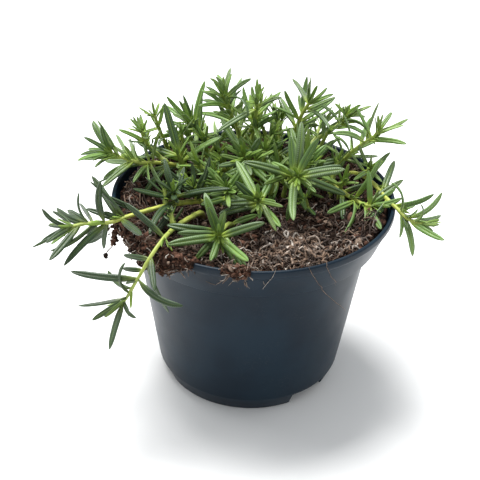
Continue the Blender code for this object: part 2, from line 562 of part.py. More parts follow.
def smooth_route(route, step):
    """Evenly spaced points on a smooth curve through a route's points."""
    points = [Vector(point) for point in route]
    points = [2 * points[0] - points[1], *points, 2 * points[-1] - points[-2]]
    fine = []
    for a, b, c, d in zip(points, points[1:], points[2:], points[3:]):
        for i in range(12):
            t = i / 12
            fine.append(0.5 * (2 * b + (c - a) * t + (2 * a - 5 * b + 4 * c - d) * t * t
                               + (3 * b - a - 3 * c + d) * t ** 3))
    fine.append(points[-2])
    run = np.concatenate([[0], np.cumsum([(b - a).length for a, b in zip(fine, fine[1:])])])
    count = max(3, round(run[-1] / step) + 1)
    places = np.linspace(0, run[-1], count)
    columns = [np.interp(places, run, [point[axis] for point in fine]) for axis in range(3)]
    return [Vector(point) for point in zip(*columns)], run[-1]


def carried_frames(points):
    """The direction along a line at each point, with an upright direction carried along it."""
    ends = [points[0], *points, points[-1]]
    along = [(after - before).normalized() for before, after in zip(ends, ends[2:])]
    up = Vector((0, 1, 0)) if abs(along[0].z) > 0.9 else Vector((0, 0, 1))
    ups = []
    for direction in along:
        up = (up - direction * up.dot(direction)).normalized()
        ups.append(up)
    return along, ups


def blend(values, place):
    """A vector read between the entries of a list, at a place counted in entries."""
    before = min(int(place), len(values) - 2)
    return values[before].lerp(values[before + 1], place - before)


def leaves_by_rule(shoot):
    """Crossed pairs of leaves, closer together and shorter towards the tip.

    Where leaves were placed one by one, the rule adds those that point away from the photo's side.
    """
    rng = random.Random(f"{shoot.name} {shoot.seed}")
    points, length = smooth_route(shoot.route, 2.5)
    along, ups = carried_frames(points)
    leaves = []
    for pair in range(shoot.pairs):
        share = pair / max(shoot.pairs - 1, 1)
        run = shoot.bare + (length - 0.8 - shoot.bare) * (1 - (1 - share) ** 1.35)
        place = run / length * (len(points) - 1)
        direction = blend(along, place).normalized()
        up = blend(ups, place)
        up = (up - direction * up.dot(direction)).normalized()
        size = shoot.leaf * (0.82 + 0.18 * math.sin(math.pi * min(share * 1.6, 1)))
        size *= 1 - (1 - shoot.tip) * max(0, (share - 0.45) / 0.55) ** 1.5
        spread = shoot.spread[0] + (shoot.spread[1] - shoot.spread[0]) * share ** 1.3
        for side in (0, 180):
            turn, grow, open_out, bend = (rng.uniform(-1, 1) * shoot.stray for _ in range(4))
            roll = shoot.roll + 90 * pair + side + shoot.twist * pair + STRAY_ROLL * turn
            leaf = Leaf(
                blend(points, place), direction, Quaternion(direction, math.radians(roll)) @ up,
                math.radians(spread + STRAY_SPREAD * open_out), size * (1 + STRAY_LENGTH * grow),
                math.radians(shoot.curl + STRAY_CURL * bend))
            heading = leaf.along * math.cos(leaf.spread) + leaf.out * math.sin(leaf.spread)
            if shoot.name not in PLACED or heading.dot(AWAY) > LEAST_AWAY:
                leaves.append(leaf)
    return leaves


def leaves_as_seen(shoot):
    """The leaves placed one by one, each bent from its seat on the stem through its middle to its tip."""
    points, length = smooth_route(shoot.route, 2.5)
    along, _ = carried_frames(points)
    leaves = []
    for run, tip, middle in PLACED.get(shoot.name, []):
        place = min(run / length, 1) * (len(points) - 1)
        base, growing = blend(points, place), blend(along, place).normalized()
        chord = Vector(tip) - base
        forward = chord.normalized()
        upper = growing * 0.6 + Vector((0, 0, 0.5))
        bow, rise = upper, SLIGHT_BOW * chord.length
        if middle:
            bow = Vector(middle) - (base + Vector(tip)) / 2
            bow -= forward * bow.dot(forward)
            rise = min(bow.length, MOST_BOW * chord.length) * math.copysign(1, bow.dot(upper))
            bow *= math.copysign(1, rise)
        upper = bow if abs(rise) > LEAST_BOW * chord.length else upper
        upper = (upper - forward * upper.dot(forward)).normalized()
        half_turn = 2 * math.atan(2 * rise / chord.length)
        curl = 1.5 * half_turn
        shown = upper.lerp(-AWAY, max(0, min(MOST_SHOWN, SHOWN - SHOWN_LESS * abs(rise) / chord.length)))
        facing = math.atan2(forward.dot(upper.cross(shown)), upper.dot(shown))
        facing = max(-math.radians(MOST_TURN), min(math.radians(MOST_TURN), facing))
        leaves.append(Leaf(base, forward, -upper, -0.15 * curl,
                           chord.length * half_turn / math.sin(half_turn), curl, facing))
    return leaves


def leaf_line(leaf):
    """A leaf's centre line, with the direction across its blade and its lower side at each point."""
    sideways = leaf.along.cross(leaf.out)
    points, directions = [leaf.base], []
    for step in range(LEAF_STEPS):
        angle = leaf.spread + leaf.curl * (step / (LEAF_STEPS - 1) - 0.35)
        directions.append(leaf.along * math.cos(angle) + leaf.out * math.sin(angle))
        points.append(points[-1] + directions[-1] * leaf.length / LEAF_STEPS)
    directions.append(directions[-1])
    across = [Quaternion(direction, leaf.facing) @ sideways for direction in directions]
    return points, across, [side.cross(direction) for side, direction in zip(across, directions)]


def leaf_cloud(leaf):
    """Points spread over a leaf, for finding what it comes close to."""
    points, across, _ = leaf_line(leaf)
    count = round(leaf.length / 1.4)
    cloud = []
    for step in range(count + 1):
        place = step / count * LEAF_STEPS
        width = LEAF_WIDTH * (0.7 if step in (0, count) else 1)
        centre, side = blend(points, place), blend(across, place)
        cloud += [centre + side * width * share for share in (-0.4, 0, 0.4)]
    return cloud


def stem_cloud(shoot):
    """Points spread over a stem's surface."""
    points, _ = smooth_route(shoot.route, 1.5)
    along, ups = carried_frames(points)
    radius = STEM_RADIUS
    return [point + Quaternion(direction, math.tau * side / 6) @ up * (radius - 0.4)
            for point, direction, up in zip(points, along, ups) for side in range(6)]


def tree_of(cloud):
    tree = kdtree.KDTree(len(cloud))
    for number, point in enumerate(cloud):
        tree.insert(point, number)
    tree.balance()
    return tree


def clear_of_pot(point):
    """Whether a leaf can pass here: outside the pot, over its rim, or inside it above the soil."""
    radius = math.hypot(point.x, point.y)
    if point.z > SPILL_TOP + 0.9:
        return True
    if point.z < 1:
        return False
    angle = math.degrees(math.atan2(point.y, point.x)) % 360
    for first, last, foot in SPILLS:
        if first - 2 < angle < last + 2 and point.z > foot - 3 and SOIL_RADIUS - 2 < radius < RIM_RADIUS + 5:
            return False
    if point.z > POT_HEIGHT + 1.2:
        return True
    outer = np.interp(point.z, (CREASE_Z, BAND_FOOT_Z - 0.1, BAND_FOOT_Z, POT_HEIGHT),
                      (CREASE_RADIUS, WALL_TOP_RADIUS, BAND_FOOT_RADIUS + 1, RIM_RADIUS))
    if radius > outer + 1.2:
        return True
    inner = np.interp(point.z, (BAND_FOOT_Z + WALL, POT_HEIGHT), (BAND_FOOT_RADIUS - WALL, LIP_RADIUS))
    return radius < inner - 1.2 and point.z > soil_height(point.x, point.y) + 1.1


def bends():
    """Ways to bend a leaf clear of what it would cross, the smallest first: roll, spread, length."""
    choices = itertools.product((0, 15, -15, 30, -30, 45, -45), (0, 12, -12, 24, -24), (1, 0.8, 0.64))
    return sorted(choices, key=lambda way: abs(way[0]) / 15 + abs(way[1]) / 12 + (1 - way[2]) * 9)


def bent_clear(leaf, others, own, ways):
    """The leaf with the smallest bend that keeps it clear of the pot, the soil and other stems, or None.

    It also keeps clear of the leaves on its own stem where one of the bends allows that.
    """
    crossing_own = None
    for roll, lift, size in ways:
        tried = leaf._replace(out=Quaternion(leaf.along, math.radians(roll)) @ leaf.out,
                              spread=leaf.spread + math.radians(lift), length=leaf.length * size)
        cloud = leaf_cloud(tried)
        if not all(clear_of_pot(point) for point in cloud[6:]):
            continue
        if any(others.find(point)[2] < CLEARANCE for point in cloud):
            continue
        if own is None or all(own.find(point)[2] > OWN_CLEARANCE for point in free_part(cloud)):
            return tried
        crossing_own = crossing_own or tried
    return crossing_own


def free_part(cloud):
    """A leaf's points past its first third, where it has left its neighbours on the stem."""
    return cloud[len(cloud) // 9 * 3:]


def grow(shoots):
    """The leaves of every shoot, the placed ones first, each bent clear of what it would cross."""
    clouds = {shoot.node: [] for shoot in shoots}
    for shoot in shoots:
        clouds[shoot.node] += stem_cloud(shoot)
    free = {node: [] for node in clouds}
    leaves = {shoot.name: [] for shoot in shoots}
    ways = bends()
    for laid_out in (leaves_as_seen, leaves_by_rule):
        for node in clouds:
            others = tree_of([point for other in clouds if other != node for point in clouds[other]])
            for shoot in shoots:
                if shoot.node != node:
                    continue
                for leaf in laid_out(shoot):
                    own = tree_of(free[node]) if free[node] else None
                    leaf = bent_clear(leaf, others, own, ways)
                    if leaf:
                        leaves[shoot.name].append(leaf)
                        clouds[node] += leaf_cloud(leaf)
                        free[node] += free_part(leaf_cloud(leaf))
    return leaves


def stem_solid(shoot):
    """A tapering tube along the shoot's route."""
    points, _ = smooth_route(shoot.route, STEM_STEP)
    along, ups = carried_frames(points)
    corners, rings = [], []
    for number, (point, direction, up) in enumerate(zip(points, along, ups)):
        share = number / (len(points) - 1)
        radius = STEM_RADIUS + (STEM_TIP_RADIUS - STEM_RADIUS) * share
        start = len(corners)
        corners += [point + Quaternion(direction, math.tau * side / STEM_SIDES) @ up * radius
                    for side in range(STEM_SIDES)]
        rings.append([start + side % STEM_SIDES for side in range(STEM_SIDES + 1)])
    return solid(shoot.name, corners, skinned(rings) + [rings[0][:-1], rings[-1][:-1]])


def leaf_solid(name, leaf):
    """A narrow leaf with a flat top and a keel below, its root sunk to the middle of the stem."""
    seated = leaf._replace(base=leaf.base + leaf.out * ROOT_SHIFT)
    points, across, below = leaf_line(seated)
    corners, rings = [], []
    for place, share in LEAF_OUTLINE if leaf.length > SHORT_LEAF else SHORT_OUTLINE:
        point, down = blend(points, place), blend(below, place)
        half = blend(across, place) * LEAF_WIDTH * share / 2
        start = len(corners)
        corners += [point + half, point - half, point + down * LEAF_KEEL * max(share, ROOT_KEEL)]
        rings.append([start, start + 1, start + 2, start])
    corners.append(points[-1])
    rings.append([len(corners) - 1] * 4)
    return solid(name, corners, skinned(rings) + [(0, 1, 2)])


def build_plant(shoots, finish):
    leaves = grow(shoots)
    for node in dict.fromkeys(shoot.node for shoot in shoots):
        pieces = []
        for shoot in shoots:
            if shoot.node != node:
                continue
            pieces.append(stem_solid(shoot))
            pieces += [leaf_solid(shoot.name, leaf) for leaf in leaves[shoot.name]]
        joined(f"stem_{node}", pieces, finish)


def main():
    for thing in list(bpy.data.objects):
        bpy.data.objects.remove(thing)
    plastic = material("moulded polypropylene", (0.045, 0.06, 0.08), 0.5)
    peat = material("peat and roots", (0.06, 0.035, 0.025), 0.95)
    foliage = material("rosemary stem and leaf", (0.08, 0.15, 0.05), 0.6)
    build_pot(plastic)
    build_soil(SHOOTS, peat)
    build_plant(SHOOTS, foliage)


if __name__ == "__main__":
    main()
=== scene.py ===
# %% [markdown]
# # A trailing rosemary in its nursery pot
# The CAD model is loaded first and stays as it is: it gives every place and size here. Each step below
# builds one part of the plant finer than its solid, in millimetres, and puts it where the solid was.

# %% The frame
import itertools
import math
import random
from functools import partial
from typing import NamedTuple

import bmesh
import bpy
import numpy as np
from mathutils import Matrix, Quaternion, Vector, kdtree, noise


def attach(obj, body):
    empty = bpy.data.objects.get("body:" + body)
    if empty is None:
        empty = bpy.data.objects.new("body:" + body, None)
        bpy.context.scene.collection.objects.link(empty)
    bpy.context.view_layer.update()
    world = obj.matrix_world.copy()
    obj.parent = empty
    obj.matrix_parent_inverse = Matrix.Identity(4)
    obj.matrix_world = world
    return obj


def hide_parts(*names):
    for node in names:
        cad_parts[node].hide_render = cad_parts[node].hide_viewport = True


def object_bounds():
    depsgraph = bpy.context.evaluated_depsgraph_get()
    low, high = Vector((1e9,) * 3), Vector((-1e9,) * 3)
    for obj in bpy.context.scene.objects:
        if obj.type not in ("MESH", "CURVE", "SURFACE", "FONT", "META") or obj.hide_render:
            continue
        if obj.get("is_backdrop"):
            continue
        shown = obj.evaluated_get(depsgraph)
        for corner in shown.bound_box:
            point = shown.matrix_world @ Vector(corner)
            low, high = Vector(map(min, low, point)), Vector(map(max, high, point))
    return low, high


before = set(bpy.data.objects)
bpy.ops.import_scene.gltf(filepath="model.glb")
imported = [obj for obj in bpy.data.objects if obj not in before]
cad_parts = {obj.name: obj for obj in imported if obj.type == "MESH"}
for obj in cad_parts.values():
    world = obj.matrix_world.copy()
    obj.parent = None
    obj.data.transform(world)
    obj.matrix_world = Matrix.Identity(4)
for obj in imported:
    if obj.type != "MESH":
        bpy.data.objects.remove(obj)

MM = 0.001
cad_box = [list(corner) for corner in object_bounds()]
print("CAD nodes:", len(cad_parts))
print("CAD box in mm:", [[round(value / MM, 1) for value in corner] for corner in cad_box])

# %% [markdown]
# ## The camera
# The photograph looks down at the pot by about 32 degrees, tilted a little. The pot's rim and foot are
# circles of known size, so their ovals in the picture give the distance, the angle and the lens. A long
# lens from half a metre away keeps the pot's sides nearly straight, as in the picture.

# %% The camera
CAMERA_PLACE = Vector((0, -454.2, 355.2)) * MM
CAMERA_AIM = Vector((-5.66, 0, 68.42)) * MM
CAMERA_TILT = math.radians(1.70)
FOCAL_LENGTH = 85.545
SENSOR_WIDTH = 36

camera_data = bpy.data.cameras.new("camera")
camera_data.lens = FOCAL_LENGTH
camera_data.sensor_width = SENSOR_WIDTH
camera = bpy.data.objects.new("camera", camera_data)
bpy.context.scene.collection.objects.link(camera)
aim = (CAMERA_AIM - CAMERA_PLACE).to_track_quat("-Z", "Y") @ Quaternion((0, 0, 1), CAMERA_TILT)
camera.rotation_euler = aim.to_euler()
camera.location = CAMERA_PLACE
bpy.context.scene.camera = camera
print("camera at", [round(value, 3) for value in camera.location], "lens", FOCAL_LENGTH)

# %% [markdown]
# ## Colours and nodes
# Colours are written as the hex values that a paint chart gives. Light adds up only in linear values, so
# one function turns them. A second feeds inputs with values or with other nodes, and a third adds a node
# with its settings and feeds, so each finish reads as a short list of layers.

# %% Helpers for finishes
def linear(hex_colour):
    """An sRGB colour such as '#8a9b6c' in linear red, green, blue and alpha."""
    channels = []
    for place in (1, 3, 5):
        value = int(hex_colour[place:place + 2], 16) / 255
        channels.append(value / 12.92 if value < 0.04045 else ((value + 0.055) / 1.055) ** 2.4)
    return (*channels, 1)


def per(size):
    """The pattern scale that makes one cell or wave as large as a size in millimetres."""
    return 1 / (size * MM)


def feed(inputs, feeds):
    """Gives each of the inputs named a value, or links it to another node's output."""
    for place, value in feeds.items():
        if isinstance(value, bpy.types.NodeSocket):
            inputs[place].id_data.links.new(value, inputs[place])
        else:
            inputs[place].default_value = value


def add(finish, kind, feeds=None, take=0, **settings):
    """Adds a node with its settings, feeds its inputs, and gives the output that is asked for."""
    made = finish.node_tree.nodes.new("ShaderNode" + kind)
    for name, value in settings.items():
        setattr(made, name, value)
    feed(made.inputs, feeds or {})
    return made.outputs[take]


def new_finish(name, ior, roughness):
    """A material with only its shader so far, that shader's inputs, and add for this material's nodes."""
    finish = bpy.data.materials.new(name)
    finish.use_nodes = True
    inputs = finish.node_tree.nodes["Principled BSDF"].inputs
    feed(inputs, {"IOR": ior, "Roughness": roughness})
    return finish, inputs, partial(add, finish)


# Settings that many nodes share
COLOURS = {"take": 2, "data_type": "RGBA"}
SOFTLY = {"interpolation_type": "SMOOTHSTEP"}
TIMES = {"operation": "MULTIPLY"}
PLUS = {"operation": "ADD"}
MINUS = {"operation": "SUBTRACT"}
print("a leaf green in linear light:", [round(value, 3) for value in linear("#668a42")])

# %% [markdown]
# ## Putting a piece together
# Leaves, crumbs and fibres are many small closed shells of the same kind. Thousands of objects would be
# slow, so each heap gathers its shells into one mesh. Every shell brings notes with it, such as how far
# along the leaf a point is, which the finishes read later in place of a painted texture.

# %% Helpers for meshes
def polar(radius, angle, height):
    """A place at a radius and an angle round the pot's upright axis."""
    return radius * math.cos(angle), radius * math.sin(angle), height


def ring_faces(rings, around):
    """Faces of a closed shell whose points are rings of points, anticlockwise seen from its far end."""
    start = np.arange(rings - 1)[:, None] * around
    here = np.arange(around)[None, :]
    after = (here + 1) % around
    corners = [start + here, start + after, start + around + after, start + around + here]
    quads = np.stack(corners, -1).reshape(-1, 4).tolist()
    last = (rings - 1) * around
    return quads + [list(range(around))[::-1], list(range(last, last + around))]


class Heap:
    """Shells gathered for one mesh: points in millimetres, faces, a finish number a face, notes a point."""

    def __init__(self):
        self.points, self.faces, self.finish_numbers, self.notes = [], [], [], {}
        self.count = 0

    def put(self, points, faces, finish_number=0, **notes):
        """Adds a shell. A note is one row of four numbers, or a row for each point."""
        self.points.append(np.asarray(points, float))
        self.faces += [[corner + self.count for corner in face] for face in faces]
        self.finish_numbers += [finish_number] * len(faces)
        for name, rows in notes.items():
            rows = np.broadcast_to(np.asarray(rows, float), (len(points), 4))
            self.notes.setdefault(name, []).append(rows)
        self.count += len(points)


def make_piece(name, heap, finishes, slot, *nodes):
    """The heap as a smooth mesh object that rides on the plant, and stands for the CAD nodes it names."""
    mesh = bpy.data.meshes.new(name)
    mesh.from_pydata((np.concatenate(heap.points) * MM).tolist(), [], heap.faces)
    mesh.polygons.foreach_set("material_index", heap.finish_numbers)
    mesh.shade_smooth()
    for finish in finishes:
        mesh.materials.append(finish)
    for note, rows in heap.notes.items():
        values = mesh.attributes.new(note, "FLOAT_COLOR", "POINT")
        values.data.foreach_set("color", np.concatenate(rows).astype(np.float32).ravel())
    made = bpy.data.objects.new(name, mesh)
    bpy.context.scene.collection.objects.link(made)
    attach(made, "root")
    if nodes:
        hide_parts(*nodes)
    triangles = sum(len(face) - 2 for face in heap.faces)
    print(f"{name}: {triangles} triangles, size", [round(side / MM, 1) for side in made.dimensions])
    return made


def tube(line, radii, around):
    """Rings of points round a line, with a radius at each of its points."""
    line = np.asarray(line, float)
    along = np.gradient(line, axis=0)
    along /= np.linalg.norm(along, axis=1, keepdims=True) + 1e-9
    side = np.cross(along, (0.05, 0.02, 1.0))
    side /= np.linalg.norm(side, axis=1, keepdims=True) + 1e-9
    up = np.cross(along, side)
    angles = np.arange(around) / around * math.tau
    spokes = np.cos(angles)[None, :, None] * side[:, None] + np.sin(angles)[None, :, None] * up[:, None]
    rings = line[:, None] + spokes * np.asarray(radii, float)[:, None, None]
    return rings.reshape(-1, 3)


print("a shell of 3 rings of 4 points has", len(ring_faces(3, 4)), "faces")

# %% [markdown]
# ## The pot
# The pot is injection-moulded polypropylene: a thin wall with a wider band at the top, a rolled bead
# round the rim, and a foot ring with three notches that let water out from under it. It could be a stack of
# cylinders, but a turned outline gives the wall its real 1.2 mm and lets every edge be rounded a little,
# which is what catches the light along the rim. The notches and drain holes are cut with Booleans.

# %% The pot's outline
POT_HEIGHT, RIM_RADIUS, LIP_RADIUS, BEAD_HEIGHT = 94.0, 65.0, 63.1, 4.4
BAND_TOP_RADIUS, BAND_FOOT_RADIUS, BAND_FOOT_Z = 63.9, 59.1, 77.3
WALL_TOP_RADIUS, CREASE_RADIUS, CREASE_Z, FOOT_RADIUS = 54.75, 44.0, 8.0, 40.4
WALL, FLOOR_UNDER, PAD_RADIUS, PAD_FLARE = 1.2, 7.6, 13.0, 3.0
POT_SIDES = 192
EDGE_ROUNDING, BEAD_ROUNDING, STEP_ROUNDING = 0.45, 1.0, 0.6
# The points of a rounded corner, and the most of a side that its arc takes up
ROUNDING_POINTS, MOST_CUT = 3, 0.45
# The bead's slope below it, the lip's drop, its slope on top and its taper inside
BEAD_SLOPE, LIP_DROP, LIP_SLOPE, LIP_TAPER = 1.1, 0.5, 0.8, 0.5
# The fillet round the floor, and how much thicker the wall of the pad in its middle is
FLOOR_FILLET, PAD_EXTRA = 0.9, 0.3


def rounded(outline):
    """An outline of (radius, height, rounding) with a small arc in place of each corner."""
    places = [Vector(corner[:2]) for corner in outline]
    made = [tuple(places[0])]
    for before, corner, after, (_, _, rounding) in zip(places, places[1:], places[2:], outline[1:]):
        cut = min(rounding, (corner - before).length * MOST_CUT, (after - corner).length * MOST_CUT)
        start = corner + (before - corner).normalized() * cut
        end = corner + (after - corner).normalized() * cut
        for step in range(ROUNDING_POINTS + 1):
            share = step / ROUNDING_POINTS
            made.append(tuple(start.lerp(corner, share).lerp(corner.lerp(end, share), share)))
    made.append(tuple(places[-1]))
    return made


bead_z = POT_HEIGHT - BEAD_HEIGHT
floor_top = FLOOR_UNDER + WALL
skirt_at_floor = FOOT_RADIUS + (CREASE_RADIUS - FOOT_RADIUS) / CREASE_Z * FLOOR_UNDER
pot_outline = rounded([
    (0, 0, 0),
    (PAD_RADIUS, 0, EDGE_ROUNDING),
    (PAD_RADIUS + PAD_FLARE, FLOOR_UNDER, EDGE_ROUNDING),
    (skirt_at_floor - WALL, FLOOR_UNDER, EDGE_ROUNDING),
    (FOOT_RADIUS - WALL, 0, EDGE_ROUNDING),
    (FOOT_RADIUS, 0, EDGE_ROUNDING),
    (CREASE_RADIUS, CREASE_Z, STEP_ROUNDING),
    (WALL_TOP_RADIUS, BAND_FOOT_Z, STEP_ROUNDING),
    (BAND_FOOT_RADIUS, BAND_FOOT_Z, STEP_ROUNDING),
    (BAND_TOP_RADIUS, bead_z, STEP_ROUNDING),
    (RIM_RADIUS, bead_z + BEAD_SLOPE, BEAD_ROUNDING),
    (RIM_RADIUS, POT_HEIGHT - LIP_DROP, BEAD_ROUNDING),
    (RIM_RADIUS - LIP_SLOPE, POT_HEIGHT, BEAD_ROUNDING),
    (LIP_RADIUS, POT_HEIGHT - LIP_DROP, BEAD_ROUNDING),
    (LIP_RADIUS - LIP_TAPER, bead_z, STEP_ROUNDING),
    (BAND_FOOT_RADIUS - WALL, BAND_FOOT_Z + WALL, EDGE_ROUNDING),
    (WALL_TOP_RADIUS - WALL, BAND_FOOT_Z + WALL, EDGE_ROUNDING),
    (CREASE_RADIUS - WALL, floor_top + FLOOR_FILLET, EDGE_ROUNDING),
    (CREASE_RADIUS - 2 * WALL, floor_top, EDGE_ROUNDING),
    (PAD_RADIUS + PAD_FLARE + PAD_EXTRA, floor_top, EDGE_ROUNDING),
    (PAD_RADIUS + PAD_EXTRA, WALL, EDGE_ROUNDING),
    (0, WALL, 0),
])
print("pot outline:", len(pot_outline), "points")

# %% Turning the pot and cutting its openings
NOTCH_ANGLES, NOTCH_WIDTH, NOTCH_HEIGHT = (76, 196, 316), 32, 7.0
DRAIN_COUNT, DRAIN_RADIUS, DRAIN_CIRCLE = 8, 3.0, 29.0
# How far a notch's cutter reaches inwards and outwards, and every cutter past the face it cuts
CUT_INWARDS, CUT_OUTWARDS, CUT_PAST, CUTTER_SIDES = 8, 4, 2, 32
# Edges that turn by more than this stay sharp
SHARP_ANGLE = 50


def turned(outline, sides):
    """A closed shell: an outline of (radius, height) from axis to axis, turned round Z."""
    angles = np.arange(sides) / sides * math.tau
    points, faces, rings = [], [], []
    for radius, height in outline:
        start = len(points)
        if radius == 0:
            points.append((0, 0, height))
            rings.append([start] * (sides + 1))
        else:
            points += [polar(radius, angle, height) for angle in angles]
            rings.append([*range(start, start + sides), start])
    for lower, upper in zip(rings, rings[1:]):
        for side in range(sides):
            corners = [lower[side], lower[side + 1], upper[side + 1], upper[side]]
            faces.append(list(dict.fromkeys(corners)))
    return points, faces


def cut_away(target, name, points, faces):
    """Cuts one shell out of a piece for good."""
    mesh = bpy.data.meshes.new(name)
    mesh.from_pydata([Vector(point) * MM for point in points], [], faces)
    shape = bmesh.new()
    shape.from_mesh(mesh)
    bmesh.ops.recalc_face_normals(shape, faces=shape.faces)
    shape.to_mesh(mesh)
    shape.free()
    cutter = bpy.data.objects.new(name, mesh)
    bpy.context.scene.collection.objects.link(cutter)
    boolean = target.modifiers.new(name, "BOOLEAN")
    boolean.operation = "DIFFERENCE"
    boolean.object = cutter
    graph = bpy.context.evaluated_depsgraph_get()
    finished = bpy.data.meshes.new_from_object(target.evaluated_get(graph))
    target.modifiers.clear()
    target.data = finished
    bpy.data.objects.remove(cutter)


def notch_block(middle_angle):
    """The block that cuts one notch out of the foot ring."""
    middle, half = math.radians(middle_angle), math.radians(NOTCH_WIDTH / 2)
    points = [polar(radius, angle, height) for height in (-CUT_PAST, NOTCH_HEIGHT)
              for radius in (FOOT_RADIUS - CUT_INWARDS, CREASE_RADIUS + CUT_OUTWARDS)
              for angle in (middle - half, middle + half)]
    return points, [(0, 1, 3, 2), (4, 5, 7, 6), (0, 1, 5, 4), (2, 3, 7, 6), (0, 2, 6, 4), (1, 3, 7, 5)]


# %% [markdown]
# ## Slate polypropylene
# Polypropylene has an IOR of about 1.49 and comes out of a polished mould half glossy. Its dark slate
# colour looks nearly black in the middle and pale along the sides, because plastic mirrors more of the
# bright room where it turns away. Handling leaves dust in its grain, and wet soil a film below the rim.

# %% The pot's finish
def polypropylene():
    """Moulded polypropylene in dark slate: half gloss, with dust and soil marks."""
    finish, shader, node = new_finish("moulded_polypropylene_slate", ior=1.49, roughness=0.42)
    place = node("TexCoord", take="Object")
    height = node("SeparateXYZ", {0: place}, take="Z")
    # Mould flow: clouds of about 30 mm in the pigment
    clouds = node("TexNoise", {"Vector": place, "Scale": per(30), "Detail": 3.0})
    cloudy = node("MapRange", {0: clouds, 1: 0.35, 2: 0.65}, **SOFTLY)
    colour = node("Mix", {0: cloudy, 6: linear("#0e1d29"), 7: linear("#132532")}, **COLOURS)
    # Dust: grains of a tenth of a millimetre, drawn at 0.7 mm so that they show
    grains = node("TexNoise", {"Vector": place, "Scale": per(0.7), "Detail": 4.0})
    patches = node("TexNoise", {"Vector": place, "Scale": per(22), "Detail": 5.0})
    specks = node("MapRange", {0: grains, 1: 0.56, 2: 0.72}, **SOFTLY)
    dusty = node("MapRange", {0: patches, 1: 0.45, 2: 0.70, 4: 0.12}, **SOFTLY)
    dust = node("Math", {0: specks, 1: dusty}, **TIMES)
    colour = node("Mix", {0: dust, 6: colour, 7: linear("#7d7a72")}, **COLOURS)
    # Soil washed down from the rim leaves a thin brown film on the band
    high = node("MapRange", {0: height, 1: 74 * MM, 2: 94 * MM}, **SOFTLY)
    stained = node("MapRange", {0: patches, 1: 0.55, 2: 0.78, 4: 0.14}, **SOFTLY)
    film = node("Math", {0: high, 1: stained}, **TIMES)
    colour = node("Mix", {0: film, 6: colour, 7: linear("#4a3d33")}, **COLOURS)
    # The polish of the mould is uneven in patches of about 22 mm
    rough = node("MapRange", {0: patches, 1: 0.35, 2: 0.75, 3: 0.38, 4: 0.46}, **SOFTLY)
    rough = node("Math", {0: rough, 1: dust}, **PLUS)
    # The mould's matt grain is 0.1 mm across: drawn at 0.5 mm
    grain = node("TexNoise", {"Vector": place, "Scale": per(0.5), "Detail": 2.0})
    bump = node("Bump", {"Strength": 0.08, "Distance": 0.1 * MM, "Height": grain})
    feed(shader, {"Base Color": colour, "Roughness": rough, "Normal": bump, "Specular IOR Level": 0.18})
    return finish


pot_heap = Heap()
pot_heap.put(*turned(pot_outline, POT_SIDES))
pot = make_piece("pot_moulded", pot_heap, [polypropylene()], "pot", "pot")
for number, middle_angle in enumerate(NOTCH_ANGLES):
    cut_away(pot, f"notch_{number}", *notch_block(middle_angle))
drain_foot, drain_top = FLOOR_UNDER - CUT_PAST, FLOOR_UNDER + WALL + CUT_PAST
drain_outline = [(0, drain_foot), (DRAIN_RADIUS, drain_foot), (DRAIN_RADIUS, drain_top), (0, drain_top)]
drain_points, drain_faces = turned(drain_outline, CUTTER_SIDES)
for number in range(DRAIN_COUNT):
    centre = Vector(polar(1, math.tau * (number + 0.5) / DRAIN_COUNT, 0)) * DRAIN_CIRCLE
    cut_away(pot, f"drain_{number}", [centre + Vector(point) for point in drain_points], drain_faces)
pot.data.shade_smooth()
pot.data.set_sharp_from_angle(angle=math.radians(SHARP_ANGLE))
print("pot cut:", len(pot.data.polygons), "faces")

# %% [markdown]
# ## The soil
# The pot holds a root ball of peat and coir. Its top is a low mound, broken into crumbs, with loose soil
# banked against the wall. A flat disc with a bumpy finish looks painted, because its edge stays smooth, so
# the clods are real relief: cells with cracks between them, and finer noise on top. The height at any
# place comes from one function, which the crumbs and fibres also stand on.

# %% Height of the soil
SOIL_RADIUS, SOIL_EDGE_Z, SOIL_MOUND, SOIL_LUMPS, LUMP_SIZE = 57.2, 82.0, 2.2, 1.2, 9.0
# Clods: their size, how steeply their sides fall and the part of them that is sunk, then their height
CLODS, CLOD_RELIEF = (4.2, 2.4, 0.62), 1.7
GRIT_SIZE, GRIT_RELIEF = 1.5, 0.7
# Loose soil banked against the wall, higher at the back and the sides, where it nearly reaches the rim
BANK, BANK_FROM, BANK_TO, BANK_RADIUS = 5.4, 0.70, 0.98, 59.9
BANK_UNEVEN, BANK_WAVE = 0.40, 17
BACK_BANK, BACK_SPREAD = 4.4, 1.5
# The play between the root ball and the pot's floor
GAP = 0.35


def soil_height(x, y):
    """Top of the soil at a place inside the pot, as in the CAD: a low mound with lumps."""
    reach = math.hypot(x, y) / SOIL_RADIUS
    lumps = noise.noise(Vector((x, y, 0)) / LUMP_SIZE) * SOIL_LUMPS
    return SOIL_EDGE_Z + SOIL_MOUND * (1 - reach * reach) + lumps


def back_bank(x, y):
    """How much higher the bank is at a place, none of it at the front."""
    return BACK_BANK * min(1, max(0, 1 + BACK_SPREAD * y / max(math.hypot(x, y), 1)))


def clod_rise(place, size, slope, sunk):
    """How far a clod stands up at a place: flat on top, and falling into the cracks round it."""
    near, next_near = noise.voronoi(place / size)[0][:2]
    return min(1, (next_near - near) * slope) - sunk


def crumbled_height(x, y):
    """Top of the soil with its bank, its clods, the cracks between them, and grit."""
    clod = clod_rise(Vector((x, y, 3)), *CLODS)
    grit = noise.noise(Vector((x, y, 8)) / GRIT_SIZE)
    rise = min(1, max(0, (math.hypot(x, y) / SOIL_RADIUS - BANK_FROM) / (BANK_TO - BANK_FROM)))
    uneven = 1 + BANK_UNEVEN * noise.noise(Vector((x, y, 40)) / BANK_WAVE)
    bank = (BANK * uneven + back_bank(x, y)) * rise
    return soil_height(x, y) + bank + clod * CLOD_RELIEF + grit * GRIT_RELIEF


